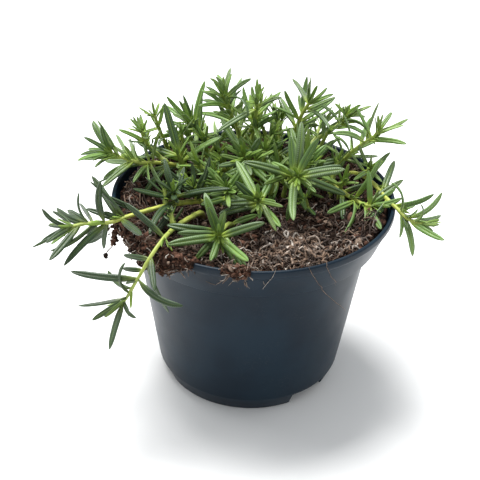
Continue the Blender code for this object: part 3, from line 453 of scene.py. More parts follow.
print("soil top at the middle:", round(soil_height(0, 0), 2), "mm")
print("with its clods:", round(crumbled_height(0, 0), 2), "mm")

# %% The root ball
SOIL_SIDES, SOIL_RINGS = 288, 84
# The soil's ragged edge: depth and number of its wide and its fine waves, and how far it draws in
EDGE_WAVE, EDGE_WAVES, EDGE_FRAY, EDGE_FRAYS, EDGE_INWARDS = 1.6, 3, 1.1, 22, 0.6
# How much wider the soil is where it is banked higher, and how its edge droops to the wall
BANK_WIDER, EDGE_DROOP, DROOP_FROM, DROOP_WIDTH = 0.5, 1.5, 0.95, 0.05
ledge_top = BAND_FOOT_Z + WALL


def root_ball():
    """A closed shell: up the inside of the pot's wall, then over the crumbled top to the middle."""
    side = [(0, floor_top + GAP), (CREASE_RADIUS - 2 * WALL - 0.6, floor_top + GAP),
            (WALL_TOP_RADIUS - WALL - 0.7, ledge_top - 1), (WALL_TOP_RADIUS - WALL - 0.5, ledge_top + 0.6),
            (SOIL_RADIUS - 0.6, ledge_top + 1.0)]
    rings = [(radius, height, 0) for radius, height in side]
    rings += [(BANK_RADIUS, None, 1 - step / SOIL_RINGS) for step in range(SOIL_RINGS + 1)]
    faces = turned([(0, 0), *[(1, 0)] * (len(rings) - 2), (0, 0)], SOIL_SIDES)[1]
    shaped = [Vector((0, 0, side[0][1]))]
    for radius, height, share in rings[1:-1]:
        for number in range(SOIL_SIDES):
            angle = math.tau * number / SOIL_SIDES
            if height is None:
                x, y, _ = polar(1, angle, 0)
                ragged = EDGE_WAVE * noise.noise(Vector((x, y, 0)) * EDGE_WAVES) - EDGE_INWARDS
                ragged += EDGE_FRAY * noise.noise(Vector((x, y, 4)) * EDGE_FRAYS)
                wider = BANK_WIDER * back_bank(x * radius, y * radius)
                x, y, _ = polar((radius + wider + ragged * share) * share, angle, 0)
                droop = EDGE_DROOP * max(0, (share - DROOP_FROM) / DROOP_WIDTH) ** 2
                shaped.append(Vector((x, y, crumbled_height(x, y) - droop)))
            else:
                shaped.append(Vector(polar(radius, angle, height)))
    shaped.append(Vector((0, 0, crumbled_height(0, 0))))
    return shaped, faces


print("root ball:", SOIL_SIDES, "points round,", SOIL_RINGS, "rings over its top")

# %% Soil over the rim
# First angle, last angle and height of the lower edge of each place where soil lies over the rim
SPILLS = ((198, 243, 79.5), (259, 270, 87.0))
SPILL_TOP = 95.2
SPILL_STEP, SPILL_POINTS = 0.7, 56
# The part of a half wave that a spill's depth follows from end to end
SPILL_START, SPILL_SPAN = 0.06, 0.88
# How far its outside stands off the rim, and how ragged its edge and its outside are
SPILL_OFF, RAGGED_DEPTH, RAGGED_BULGE = 1.0, 0.25, 0.8
SPILL_CLODS, SPILL_CLOD_RELIEF, SPILL_GRIT_SIZE, SPILL_GRIT_RELIEF = (2.3, 2.2, 0.5), 1.3, 1.2, 0.6
# How far each spill's lower edge is lifted and how far it bulges out beside the rim
SPILL_LIFT, SPILL_BULGE = (1.8, 2.2), (1.6, 0.4)
# How far each lies round the rim from its solid, in degrees, as the photograph has it
SPILL_SHIFT = (5.5, 0.0)


def around_outline(corners, count):
    """Evenly spaced points round a closed outline of (radius, height)."""
    closed = np.array([*corners, corners[0]], float)
    run = np.concatenate([[0], np.cumsum(np.linalg.norm(np.diff(closed, axis=0), axis=1))])
    places = np.linspace(0, run[-1], count, endpoint=False)
    return np.stack([np.interp(places, run, closed[:, axis]) for axis in (0, 1)], -1)


def spill_outline(number, share):
    """The spill's outline of (radius, height) at a share of its width."""
    foot = SPILLS[number][2] + SPILL_LIFT[number]
    full = math.sin(math.pi * (SPILL_START + SPILL_SPAN * share))
    ragged = noise.noise(Vector((share * 11 * 0.7, number * 5, 0)))
    lower = POT_HEIGHT - (POT_HEIGHT - foot) * full * (1 + RAGGED_DEPTH * ragged)
    outer = RIM_RADIUS + SPILL_OFF + SPILL_BULGE[number] * full + RAGGED_BULGE * ragged
    return [(SOIL_RADIUS - 4, SOIL_EDGE_Z - 2), (SOIL_RADIUS - 3, SOIL_EDGE_Z + 4),
            (LIP_RADIUS - 2.5, SPILL_TOP - 1.4), (LIP_RADIUS + 0.2, SPILL_TOP),
            (RIM_RADIUS + 0.2, SPILL_TOP), (outer, SPILL_TOP - 3),
            (outer - 0.8, (SPILL_TOP - 3 + lower) / 2), (outer - 3, lower), (LIP_RADIUS - 1.2, lower)]


def spill_angle(number, share):
    """The angle round the pot at a share of a spill's width."""
    first, last, _ = SPILLS[number]
    return math.radians(first + SPILL_SHIFT[number] + (last - first) * share)


def spill_shell(number):
    """Soil lying over the rim, rough all over and ragged along its lower edge."""
    first, last, _ = SPILLS[number]
    count = round((last - first) / SPILL_STEP) + 1
    points = []
    for step in range(count):
        angle = spill_angle(number, step / (count - 1))
        outline = around_outline(spill_outline(number, step / (count - 1)), SPILL_POINTS)
        middle = outline.mean(axis=0)
        for radius, height in outline:
            place = Vector(polar(radius, angle, height))
            rough = clod_rise(place, *SPILL_CLODS) * SPILL_CLOD_RELIEF
            rough += noise.noise(place / SPILL_GRIT_SIZE) * SPILL_GRIT_RELIEF
            outward = Vector((radius - middle[0], height - middle[1])).normalized()
            points.append(polar(radius + outward.x * rough, angle, height + outward.y * rough))
    return points, ring_faces(count, SPILL_POINTS)


print("spills:", [f"{last - first} degrees wide" for first, last, _ in SPILLS])

# %% [markdown]
# ## Peat
# Damp peat is brown on its crumbs, with no shine, and the cracks between crumbs carry painted shade, nearly
# black. Its grain runs from dust to crumbs of 3 mm, so three sizes of noise carry the colour, and a bump
# adds the grain that is too fine to model. Its roughness is 0.95 and its IOR that of most organic matter,
# 1.45.

# %% The soil's finish
def peat():
    """Damp peat with coir: brown crumbs with painted shade in the cracks between them, without shine."""
    finish, shader, node = new_finish("damp_peat", ior=1.45, roughness=0.95)
    place = node("TexCoord", take="Object")
    crumbs = node("TexVoronoi", {"Vector": place, "Scale": per(2.2)})
    grain = node("TexNoise", {"Vector": place, "Scale": per(0.9), "Detail": 6.0})
    patches = node("TexNoise", {"Vector": place, "Scale": per(14), "Detail": 3.0})
    brown = node("MapRange", {0: grain, 1: 0.35, 2: 0.70}, **SOFTLY)
    colour = node("Mix", {0: brown, 6: linear("#20150e"), 7: linear("#55392b")}, **COLOURS)
    ruddy = node("MapRange", {0: patches, 1: 0.42, 2: 0.66, 4: 0.55}, **SOFTLY)
    # Soil near the rim and over it has dried to a redder brown
    height = node("SeparateXYZ", {0: place}, take="Z")
    dried = node("MapRange", {0: height, 1: 89 * MM, 2: 94 * MM, 4: 0.75}, **SOFTLY)
    dried = node("Math", {0: dried, 1: brown}, **TIMES)
    # Painted shade: the cracks between the crumbs, where the bump sinks, are darkened nearly to black
    painted_crack_shade = node("MapRange", {0: crumbs, 1: 0.30, 2: 0.75, 3: 0.0, 4: 0.85}, **SOFTLY)
    # The coats, the lowest first
    coats = ((ruddy, "#53382c"), (dried, "#6b4a3b"), (painted_crack_shade, "#120c08"))
    for cover, coat in coats:
        colour = node("Mix", {0: cover, 6: colour, 7: linear(coat)}, **COLOURS)
    relief = node("Math", {0: grain, 1: crumbs}, **MINUS)
    bump = node("Bump", {"Strength": 0.9, "Distance": 0.8 * MM, "Height": relief})
    feed(shader, {"Base Color": colour, "Normal": bump, "Specular IOR Level": 0.2})
    return finish


soil_heap = Heap()
soil_heap.put(*root_ball())
for number in range(len(SPILLS)):
    soil_heap.put(*spill_shell(number))
make_piece("soil_body", soil_heap, [peat()], "soil", "soil")

# %% [markdown]
# ## Crumbs
# Loose crumbs and bark chips lie on the mound and over the rim, the largest 6 mm long, each with its own
# brown. Scattering one shape would show, so sixteen rough lumps are made first, and sixteen with fewer
# faces for the smallest crumbs. Each crumb is one of them, turned, stretched and set on the soil at its
# place. Its note carries a tone that the finish turns into colour.

# %% Scattering the crumbs
CRUMB_KINDS, CRUMB_COUNT, SPILL_CRUMB_COUNT = 16, 2300, 800
# Half width of the typical and the largest crumb, how much it varies, and where a crumb counts as small
TYPICAL_CRUMB, LARGEST_CRUMB, CRUMB_VARIETY, SMALL_CRUMB = 0.55, 1.6, 0.55, 0.62
# A crumb's stretch each way, how much smaller it is on a spill, and how far it stands up
CRUMB_STRETCH, SPILL_CRUMB_SIZE, CRUMB_STAND = ((0.8, 1.9), (0.6, 1.1), (0.35, 0.8)), 0.85, 0.2
# The radius that crumbs and fibres keep to, and the share of those on the spills that the wide one has
SOIL_LIMIT, CRUMBS_ON_WIDE, FIBRES_ON_WIDE = 59.4, 0.84, 0.60
# The front spill lies to the right of this, and is paler
FRONT_SPILL_X, WIDE_SPILL_TONE, FRONT_SPILL_TONE = -20, 0.15, 0.65
scatter = random.Random(11)


def rough_lump(seed, detail):
    """A ball of 42 or 12 points pushed in and out until it looks like a crumb."""
    shape = bmesh.new()
    bmesh.ops.create_icosphere(shape, subdivisions=detail, radius=1)
    points = []
    for corner in shape.verts:
        push = 1 + 0.55 * noise.noise(corner.co * 1.3 + Vector((seed * 7, 0, 0)))
        push += 0.22 * noise.noise(corner.co * 3.1 + Vector((0, seed * 5, 0)))
        points.append(corner.co * push)
    faces = [[corner.index for corner in face.verts] for face in shape.faces]
    shape.free()
    return np.array(points), faces


def random_turn():
    """A turn about any axis, as a matrix that rows of points are multiplied by."""
    axis = Vector([scatter.gauss(0, 1) for _ in range(3)]).normalized()
    return np.array(Quaternion(axis, scatter.uniform(0, math.tau)).to_matrix())


def spill_place(wide_one):
    """A place on the outside of a spill, on the wide one with this chance."""
    number = 0 if scatter.random() < wide_one else 1
    share = scatter.uniform(0.02, 0.98)
    angle = spill_angle(number, share)
    outline = around_outline(spill_outline(number, share), SPILL_POINTS)
    radius, height = outline[scatter.randrange(round(SPILL_POINTS * 0.22), round(SPILL_POINTS * 0.86))]
    return polar(radius, angle, height)


def soil_place(luck):
    """A place on the soil inside the pot, drawn from the stream of luck that is given."""
    radius, angle = SOIL_LIMIT * math.sqrt(luck.random()), luck.uniform(0, math.tau)
    x, y, _ = polar(radius, angle, 0)
    return x, y, crumbled_height(x, y)


lumps = [rough_lump(seed, 2) for seed in range(CRUMB_KINDS)]
small_lumps = [rough_lump(seed, 1) for seed in range(CRUMB_KINDS)]
crumbs = Heap()
for number in range(CRUMB_COUNT + SPILL_CRUMB_COUNT):
    spilled = number >= CRUMB_COUNT
    size = min(LARGEST_CRUMB, TYPICAL_CRUMB * math.exp(scatter.gauss(0, CRUMB_VARIETY)))
    size *= SPILL_CRUMB_SIZE if spilled else 1.0
    points, faces = scatter.choice(lumps if size > SMALL_CRUMB else small_lumps)
    shape = np.array([scatter.uniform(*stretch) for stretch in CRUMB_STRETCH])
    centre = spill_place(CRUMBS_ON_WIDE) if spilled else soil_place(scatter)
    placed = (points * size * shape) @ random_turn() + centre + [0, 0, size * CRUMB_STAND]
    darkest = 0.0
    if spilled:
        darkest = WIDE_SPILL_TONE if centre[0] < FRONT_SPILL_X else FRONT_SPILL_TONE
    tone = scatter.uniform(darkest, 1.0)
    crumbs.put(placed, faces, look=(tone, scatter.random(), 0, 1))

# A small clump that hangs from the left spill, and the crumb on a root below it
HANGING_TOP, HANGING_FOOT, HANGING_COUNT = (-59.5, -26, 91), (-62, -26.5, 80.5), 70
DANGLING_CRUMB = (-65.7, -25, 73)
for number in range(HANGING_COUNT):
    share = number / HANGING_COUNT
    points, faces = scatter.choice(lumps)
    stray = np.array([scatter.gauss(0, 1.5 - share) for _ in range(3)])
    centre = np.array(HANGING_TOP) * (1 - share) + np.array(HANGING_FOOT) * share + stray
    placed = (points * scatter.uniform(0.4, 1.0)) @ random_turn() + centre
    crumbs.put(placed, faces, look=(scatter.uniform(0.35, 1.0), scatter.random(), 0, 1))
for push in (0, 0.9):
    points, faces = scatter.choice(lumps)
    crumbs.put(points * 1.1 + DANGLING_CRUMB + [0, 0, push], faces, look=(0.2, 0.3, 0, 1))
print("crumbs:", CRUMB_COUNT + SPILL_CRUMB_COUNT + HANGING_COUNT)

# %% The crumbs' finish
def crumb_brown():
    """Crumbs of peat and bark: each its own brown, a few bleached."""
    finish, shader, node = new_finish("peat_crumbs", ior=1.45, roughness=0.92)
    look = node("Attribute", take="Vector", attribute_name="look")
    tone, kind = [node("SeparateXYZ", {0: look}, take=axis) for axis in "XY"]
    place = node("TexCoord", take="Object")
    grain = node("TexNoise", {"Vector": place, "Scale": per(0.8), "Detail": 5.0})
    dark = node("MapRange", {0: tone, 1: 0.25, 2: 0.95}, **SOFTLY)
    colour = node("Mix", {0: dark, 6: linear("#22160f"), 7: linear("#705041")}, **COLOURS)
    pale = node("MapRange", {0: kind, 1: 0.86, 2: 0.97, 4: 0.8}, **SOFTLY)
    colour = node("Mix", {0: pale, 6: colour, 7: linear("#a08b7a")}, **COLOURS)
    # Painted shade: the hollows of the grain, where the bump sinks, are darkened
    shade = node("MapRange", {0: grain, 1: 0.35, 2: 0.65, 3: 0.6, 4: 0.0}, **SOFTLY)
    colour = node("Mix", {0: shade, 6: colour, 7: linear("#1a120c")}, **COLOURS)
    bump = node("Bump", {"Strength": 0.7, "Distance": 0.4 * MM, "Height": grain})
    feed(shader, {"Base Color": colour, "Normal": bump, "Specular IOR Level": 0.2})
    return finish


make_piece("soil_crumbs", crumbs, [crumb_brown()], "soil")

# %% [markdown]
# ## Fibres
# Coir and old roots lie over the whole soil, with a pale grey-tan tangle at the front right.
# Hair curves would be quick, but an export to a mesh format loses them, so each fibre is a thin tube that
# wanders over the soil, humps up in its middle and dives in at its ends.

# %% Laying the fibres
FIBRE_SIDES, FIBRE_STEP = 4, 1.1
TANGLE_MIDDLE, TANGLE_REACH = (19.0, -34.0), (23.0, 17.0)
TANGLE_COUNT, DARK_FIBRE_COUNT, SPILL_FIBRE_COUNT = 780, 1500, 320
# Ranges of length, rise and radius in millimetres, and how much a fibre turns at each step
DARK_LENGTH, DARK_RISE, DARK_RADIUS, DARK_WANDER = (4, 13), (0.8, 2.6), (0.15, 0.42), 0.28
TANGLE_LENGTH, TANGLE_RISE, TANGLE_WANDER = (4, 12), (0.8, 5.4), 0.60
SPILL_LENGTH, SPILL_RADIUS, SPILL_PARTS = (2, 6), (0.14, 0.30), 7
fibre_luck = random.Random(5)


def fibre_line(x, y, heading, length, wander, lift):
    """The middle line of a fibre that winds over the soil from a place and heading."""
    steps = max(4, round(length / FIBRE_STEP))
    turn, line = 0, []
    for step in range(steps + 1):
        hump = math.sin(math.pi * step / steps)
        line.append((x, y, crumbled_height(x, y) - 0.3 + hump * lift))
        turn = 0.6 * turn + fibre_luck.gauss(0, wander)
        heading += turn
        if math.hypot(x, y) > SOIL_LIMIT:
            heading = math.atan2(-y, -x)
        x += math.cos(heading) * length / steps
        y += math.sin(heading) * length / steps
    return line


def lay_fibre(heap, line, radius, tone):
    """Adds a fibre as a tube that thins to its ends."""
    shares = np.linspace(0, 1, len(line))
    radii = radius * (0.35 + 0.65 * np.sin(np.pi * np.clip(shares, 0.04, 0.96)) ** 0.5)
    points = tube(line, radii, FIBRE_SIDES)
    heap.put(points, ring_faces(len(line), FIBRE_SIDES), look=(tone, fibre_luck.random(), 0, 1))


dark_fibres = Heap()
for _ in range(DARK_FIBRE_COUNT):
    x, y, _ = soil_place(fibre_luck)
    line = fibre_line(x, y, fibre_luck.uniform(0, math.tau), fibre_luck.uniform(*DARK_LENGTH), DARK_WANDER,
                      fibre_luck.uniform(*DARK_RISE))
    lay_fibre(dark_fibres, line, fibre_luck.uniform(*DARK_RADIUS), fibre_luck.uniform(0.0, 0.75) ** 1.4)

coir_tangle = Heap()
for _ in range(TANGLE_COUNT):
    reach = abs(fibre_luck.gauss(0, 0.6))
    angle = fibre_luck.uniform(0, math.tau)
    x = TANGLE_MIDDLE[0] + TANGLE_REACH[0] * reach * math.cos(angle)
    y = TANGLE_MIDDLE[1] + TANGLE_REACH[1] * reach * math.sin(angle)
    if math.hypot(x, y) > SOIL_LIMIT:
        continue
    line = fibre_line(x, y, fibre_luck.uniform(0, math.tau), fibre_luck.uniform(*TANGLE_LENGTH),
                      TANGLE_WANDER, fibre_luck.uniform(*TANGLE_RISE) * max(0.3, 1 - reach / 2))
    lay_fibre(coir_tangle, line, 0.24 + 0.50 * fibre_luck.random() ** 1.6, fibre_luck.uniform(0.0, 1.0))

# %% Fibres on the spills and threads down the pot
# Threads on the pot's outside, as (angle, height) in degrees and millimetres
THREADS = (
    ((279.5, 94.9), (278.1, 92.5), (276.6, 88), (275, 83.5)),
    ((262.4, 91.3), (260.8, 89.3), (258.7, 86.4), (256.4, 83.6)),
    ((256.4, 83.6), (254.4, 84.1), (252.5, 84.8)),
    ((274.7, 88.7), (275.1, 87.4), (275.5, 86.6)),
    ((291.5, 94.9), (293.3, 90.4), (298.2, 81.5), (308, 69.1), (318.4, 58.5), (332.1, 47)),
    ((299.5, 94.9), (298.8, 93), (302.8, 84.9), (313.8, 71.3)),
)
THREAD_RADIUS, THREAD_PARTS, THREAD_TONE = 0.11, 10, 0.75
# How far a thread sways, and how far it lies off the pot
THREAD_SWAY, THREAD_OFF = 0.25, 0.15


def outside_radius(height):
    """The pot's outer radius at a height."""
    heights = (CREASE_Z, BAND_FOOT_Z - 0.1, BAND_FOOT_Z, bead_z, bead_z + BEAD_SLOPE, 93.4, 95)
    radii = (CREASE_RADIUS, WALL_TOP_RADIUS, BAND_FOOT_RADIUS, BAND_TOP_RADIUS, RIM_RADIUS, RIM_RADIUS,
             LIP_RADIUS)
    return float(np.interp(height, heights, radii))


for thread in THREADS:
    angles, heights = zip(*thread)
    shares = np.linspace(0, len(thread) - 1, THREAD_PARTS * (len(thread) - 1) + 1)
    line = []
    for share in shares:
        angle = math.radians(np.interp(share, range(len(thread)), angles))
        height = float(np.interp(share, range(len(thread)), heights))
        sway = THREAD_SWAY * noise.noise(Vector((share * 1.7, angles[0], 0)))
        radius = outside_radius(height) + THREAD_RADIUS + THREAD_OFF + abs(sway)
        line.append(polar(radius, angle + sway * 0.02, height))
    lay_fibre(coir_tangle, line, THREAD_RADIUS, THREAD_TONE)

root_line = [np.array(HANGING_FOOT) + (np.array(DANGLING_CRUMB) - HANGING_FOOT) * share +
             [0.5 * math.sin(share * 7), 0, 0.4 * math.sin(share * 5)] for share in np.linspace(0, 1, 12)]
lay_fibre(dark_fibres, root_line, 0.28, 0.25)
for _ in range(SPILL_FIBRE_COUNT):
    start = spill_place(FIBRES_ON_WIDE)
    outward = np.array([start[0], start[1], 0]) / np.hypot(start[0], start[1])
    heading = np.array([fibre_luck.gauss(0, 1) for _ in range(3)]) - outward * 0.3
    length = fibre_luck.uniform(*SPILL_LENGTH)
    line = [start + outward * 0.3]
    for _ in range(SPILL_PARTS):
        heading += np.array([fibre_luck.gauss(0, 0.5) for _ in range(3)])
        line.append(line[-1] + heading / np.linalg.norm(heading) * length / SPILL_PARTS)
    lay_fibre(dark_fibres, line, fibre_luck.uniform(*SPILL_RADIUS), fibre_luck.uniform(0.25, 0.90))
print("fibres: dark", len(dark_fibres.points), "tangle", len(coir_tangle.points))

# %% The fibres' finish
def coir():
    """Dry coir and old roots: from dark brown to tan, each fibre its own tone, with a dull sheen."""
    finish, shader, node = new_finish("dry_coir_fibre", ior=1.53, roughness=0.75)
    look = node("Attribute", take="Vector", attribute_name="look")
    tone, kind = [node("SeparateXYZ", {0: look}, take=axis) for axis in "XY"]
    place = node("TexCoord", take="Object")
    grain = node("TexNoise", {"Vector": place, "Scale": per(1.6), "Detail": 4.0})
    tan = node("MapRange", {0: tone, 1: 0.05, 2: 0.80}, **SOFTLY)
    colour = node("Mix", {0: tan, 6: linear("#2b1d15"), 7: linear("#977d68")}, **COLOURS)
    bleached = node("MapRange", {0: kind, 1: 0.55, 2: 0.95, 4: 0.85}, **SOFTLY)
    bleached = node("Math", {0: bleached, 1: tan}, **TIMES)
    colour = node("Mix", {0: bleached, 6: colour, 7: linear("#ddd5ca")}, **COLOURS)
    # Painted shade: the hollows of the grain, where the bump sinks, are darkened
    painted_fibre_shade = node("MapRange", {0: grain, 1: 0.40, 2: 0.68, 3: 0.65, 4: 0.0}, **SOFTLY)
    colour = node("Mix", {0: painted_fibre_shade, 6: colour, 7: linear("#2a1c14")}, **COLOURS)
    bump = node("Bump", {"Strength": 0.5, "Distance": 0.1 * MM, "Height": grain})
    feed(shader, {"Base Color": colour, "Normal": bump, "Specular IOR Level": 0.35})
    return finish


coir_finish = coir()
make_piece("soil_fibres", dark_fibres, [coir_finish], "soil")
make_piece("coir_tangle", coir_tangle, [coir_finish], "soil")

# %% [markdown]
# ## Where the shoots go
# Rosemary puts its leaves on in crossed pairs: each pair stands across the one below it. The CAD follows
# that rule along 28 shoots, with a route for each. Leaves that the photo shows clearly are placed one by
# one, from seat to tip, and the rule fills in those behind. Each is bent aside where it would run into
# another stem. The same tables and rule are repeated here, so each fine leaf lies along its solid one.

# %% The shoots' routes
ROOT_Z = 72.0
STEM_RADIUS, STEM_TIP_RADIUS = 1.25, 0.7
LEAF_WIDTH, LEAF_STEPS = 3.6, 4
CLEARANCE, OWN_CLEARANCE = 1.95, 1.35
# A placed leaf's bow as a share of its length: without a middle, where its upper side follows it, the most
SLIGHT_BOW, LEAST_BOW, MOST_BOW = 0.04, 0.06, 0.3
# The direction away from the photo's side, and how far a leaf added by the rule to placed ones turns to it
AWAY, LEAST_AWAY = Vector((0, 0.85, -0.53)), -0.38
# How far a placed leaf turns its upper side to the photo's side, which is less where it is bowed
MOST_SHOWN, SHOWN, SHOWN_LESS, MOST_TURN = 0.85, 1.7, 8.5, 75
STRAY_ROLL, STRAY_LENGTH, STRAY_SPREAD, STRAY_CURL = 15, 0.16, 13, 24
# The step along a route, the bare end above the last pair, and how the pairs crowd towards the tip
ROUTE_STEP, BARE_TIP, CROWDING = 2.5, 0.8, 1.35


class Shoot(NamedTuple):
    """A stem's route and the rule for the crossed pairs of leaves along it."""
    name: str
    node: str
    route: list
    bare: float
    pairs: int
    leaf: float
    roll: float = 30
    spread: tuple = (66, 26)
    curl: float = 8
    twist: float = 0
    tip: float = 0.45
    stray: float = 1.0
    seed: int = 1


class Leaf(NamedTuple):
    """A leaf's seat on its stem, the way it leaves the stem, its length, its bend and its blade's turn."""
    base: Vector
    along: Vector
    out: Vector
    spread: float
    length: float
    curl: float
    facing: float = 0


def rooted(x, y, *route):
    """A route that rises straight out of its hole in the soil before it bends."""
    return [(x, y, ROOT_Z), (x, y, SOIL_EDGE_Z + 2), *route]


SHOOTS = [
    Shoot("A", "left_trailing", rooted(-22, 3, (-24, 0, 88.5), (-30, -6, 91.5), (-37, -13, 94),
          (-46, -22, 96.2), (-54, -29, 97), (-62, -33.5, 96.2), (-71, -33.5, 95.4), (-79, -35.5, 94.4)),
          bare=55, pairs=6, leaf=24, roll=70, spread=(74, 36), curl=-12, twist=10, tip=0.85, stray=1.5,
          seed=430),
    Shoot("A2", "left_trailing", [(-35, -11, 93.4), (-35.5, -12, 97), (-36, -13, 101)], bare=2, pairs=4,
          leaf=24, roll=160, spread=(82, 28), curl=28, twist=10, tip=0.65, stray=1.5, seed=183),
    Shoot("U", "left_trailing", [(-25, -1, 89), (-26.5, -2, 94), (-28, -4, 99)], bare=2, pairs=5, leaf=17,
          spread=(50, 20), curl=-12, twist=10, stray=1.5, seed=100),
    Shoot("R", "left_trailing", [(-39, -15, 94.6), (-39.5, -13, 98), (-40, -11, 102)], bare=2, pairs=3,
          leaf=11, roll=0, spread=(60, 16), curl=4),
    Shoot("B", "front_left_hanging", rooted(-23, -6, (-24, -10, 88.5), (-28, -19, 91.2), (-33, -31, 94),
          (-37, -46, 97.4), (-41.5, -56, 95), (-45.5, -60.5, 89), (-49, -61.5, 82.5), (-52, -60.5, 76),
          (-54, -60, 73)), bare=58, pairs=4, leaf=27, roll=90, spread=(86, 40), curl=16, tip=0.85,
          seed=24),
    Shoot("B2", "front_left_hanging", [(-34.5, -30, 94), (-35.5, -28, 97), (-36, -27, 99)], bare=1.5,
          pairs=2, leaf=9, roll=45, spread=(60, 26), curl=4),
    Shoot("C", "left_upper", rooted(-10, 33, (-13, 32, 88), (-20, 29, 90), (-32, 24, 94), (-45, 16, 99.5),
          (-53.5, 10, 102.5), (-62, 10, 105), (-66, 9, 107.5)), bare=57, pairs=10, leaf=23, roll=60,
          spread=(86, 32), curl=16, twist=5, tip=0.85, stray=1.5, seed=465),
    Shoot("D", "left_upper", [(-41, 18.5, 98), (-46, 21, 101), (-50, 18, 107), (-52, 15, 114),
          (-52, 13, 118)], bare=2, pairs=7, leaf=16, roll=100, spread=(54, 48), curl=-16,
          stray=1.5, seed=144),
    Shoot("T", "left_upper", [(-34, 22.5, 95), (-35, 22, 98), (-36, 20.5, 101), (-36.5, 19.5, 103)],
          bare=2, pairs=4, leaf=24, roll=80, spread=(86, 28), curl=-4, tip=0.55, stray=1.5, seed=474),
    Shoot("E", "back_left", rooted(-34.2, 35, (-40, 38, 90), (-44, 35, 101), (-47, 32, 112),
          (-48, 30, 117)), bare=13, pairs=4, leaf=18, spread=(70, 52), curl=24, stray=1.5,
          seed=294),
    Shoot("F", "back_left_inner", rooted(-15.2, 46.5, (-19, 49, 91), (-24, 45, 98), (-28, 41, 105),
          (-32, 38, 111)), bare=36, pairs=9, leaf=21, roll=55, spread=(50, 24), curl=16, twist=-10,
          seed=370),
    Shoot("G", "back_middle", rooted(-6, 45, (-7, 46, 95), (-9.5, 44, 106), (-13.5, 41, 116.5),
          (-16, 39, 125.5)), bare=42, pairs=7, leaf=16, roll=150, spread=(62, 20), curl=20, tip=0.75,
          seed=624),
    Shoot("Q", "back_middle", [(-7, 46, 95), (-4, 44, 101), (-1, 40, 110), (0, 36, 120), (0, 35, 124)],
          bare=13, pairs=6, leaf=18, roll=85, spread=(74, 40), curl=-8, twist=-10, tip=0.65, stray=1.5,
          seed=406),
    Shoot("K", "back_right", rooted(14.2, 46.8, (18, 49, 92), (19.5, 46, 104), (21.3, 44, 112),
          (24, 42, 119), (25.5, 41, 122)), bare=34, pairs=6, leaf=21, roll=45, spread=(58, 20), curl=0,
          twist=-5, tip=0.65, seed=491),
    Shoot("L", "right_upright", rooted(23, 42, (25, 45, 91), (31, 46, 100), (36, 46, 104), (41, 44, 110),
          (43, 43, 115)), bare=38, pairs=6, leaf=19, roll=90, spread=(86, 28), curl=24,
          seed=448),
    Shoot("M", "right_upper", rooted(32, 36, (35, 33, 89), (41, 29, 96), (46, 26, 104), (52, 25, 110),
          (55, 24, 113), (57, 23, 117)), bare=35, pairs=4, leaf=21, roll=70, spread=(74, 52), curl=0,
          tip=0.85, stray=1.5, seed=453),
    Shoot("N", "right_trailing", rooted(38, 30.5, (43, 31, 88.5), (50, 25.5, 92), (56, 13, 94),
          (61, -4, 95.5), (64.5, -12.5, 96), (68, -19.5, 95.6), (72, -23, 95.2), (76, -24.5, 95.4)),
          bare=37, pairs=9, leaf=18, roll=90, spread=(70, 28), curl=24, twist=10, tip=0.55, seed=25),
    Shoot("P", "right_trailing", [(50.3, 25.2, 92), (52, 21, 95), (53.5, 17, 99), (54, 15, 102)], bare=7,
          pairs=4, leaf=16, roll=35, spread=(78, 24), curl=12, twist=-10, tip=0.65, seed=348),
    Shoot("S", "right_trailing", rooted(31, 27, (34, 24, 88), (41, 14, 89), (47, 4, 90), (51.5, -2, 91),
          (54.5, -6, 93)), bare=32, pairs=7, leaf=21, roll=170, spread=(74, 28), curl=4, twist=10,
          tip=0.75, stray=1.5, seed=288),
    Shoot("X", "right_upright", [(25, 45, 91), (27.5, 51, 93), (30.5, 58, 96.5), (33, 64, 99.5)], bare=5,
          pairs=4, leaf=17),
    Shoot("H", "centre_right", rooted(9, 24, (12, 18, 93), (16, 6, 101), (19, -4, 106), (20, -8, 108)),
          bare=45, pairs=8, leaf=26, spread=(86, 36), curl=4, twist=-10, tip=0.65, stray=1.5, seed=357),
    Shoot("I", "centre_front", rooted(2, 4, (3, -2, 91), (3, -12, 97.5), (2, -19, 101), (2, -22, 103)),
          bare=34, pairs=9, leaf=25, roll=50, spread=(54, 52), curl=0, twist=-10, seed=243),
    Shoot("J", "front", rooted(-9, -14, (-11, -20, 89), (-13, -32, 93.5), (-14, -40, 96.5),
          (-14, -45, 98)), bare=37, pairs=8, leaf=24, roll=115, spread=(74, 44), curl=28, twist=-10,
          tip=0.65, seed=221),
    Shoot("W", "inner_back", rooted(8, 37, (9, 37, 91), (10, 32, 100), (10, 29, 105)), bare=18, pairs=6,
          leaf=20, roll=60),
    Shoot("Y", "back_middle", [(-6.8, 45.8, 92), (-8, 53, 94), (-9, 62, 97.5), (-8, 71, 101)], bare=8,
          pairs=6, leaf=18, roll=45),
    Shoot("Z", "inner_left", rooted(-10, 3, (-11, 0, 91), (-12, -5, 97), (-12, -8, 100)), bare=17,
          pairs=6, leaf=20, roll=45, spread=(70, 28)),
    Shoot("O", "inner_right", rooted(19, 24, (20, 22, 91), (23, 17, 99), (25, 14, 103)), bare=18, pairs=6,
          leaf=21, roll=60),
    Shoot("V", "inner_middle", rooted(-1, 32, (-2, 29, 91), (-4, 20, 100), (-5, 15, 105)), bare=18,
          pairs=6, leaf=22, spread=(70, 26)),
]


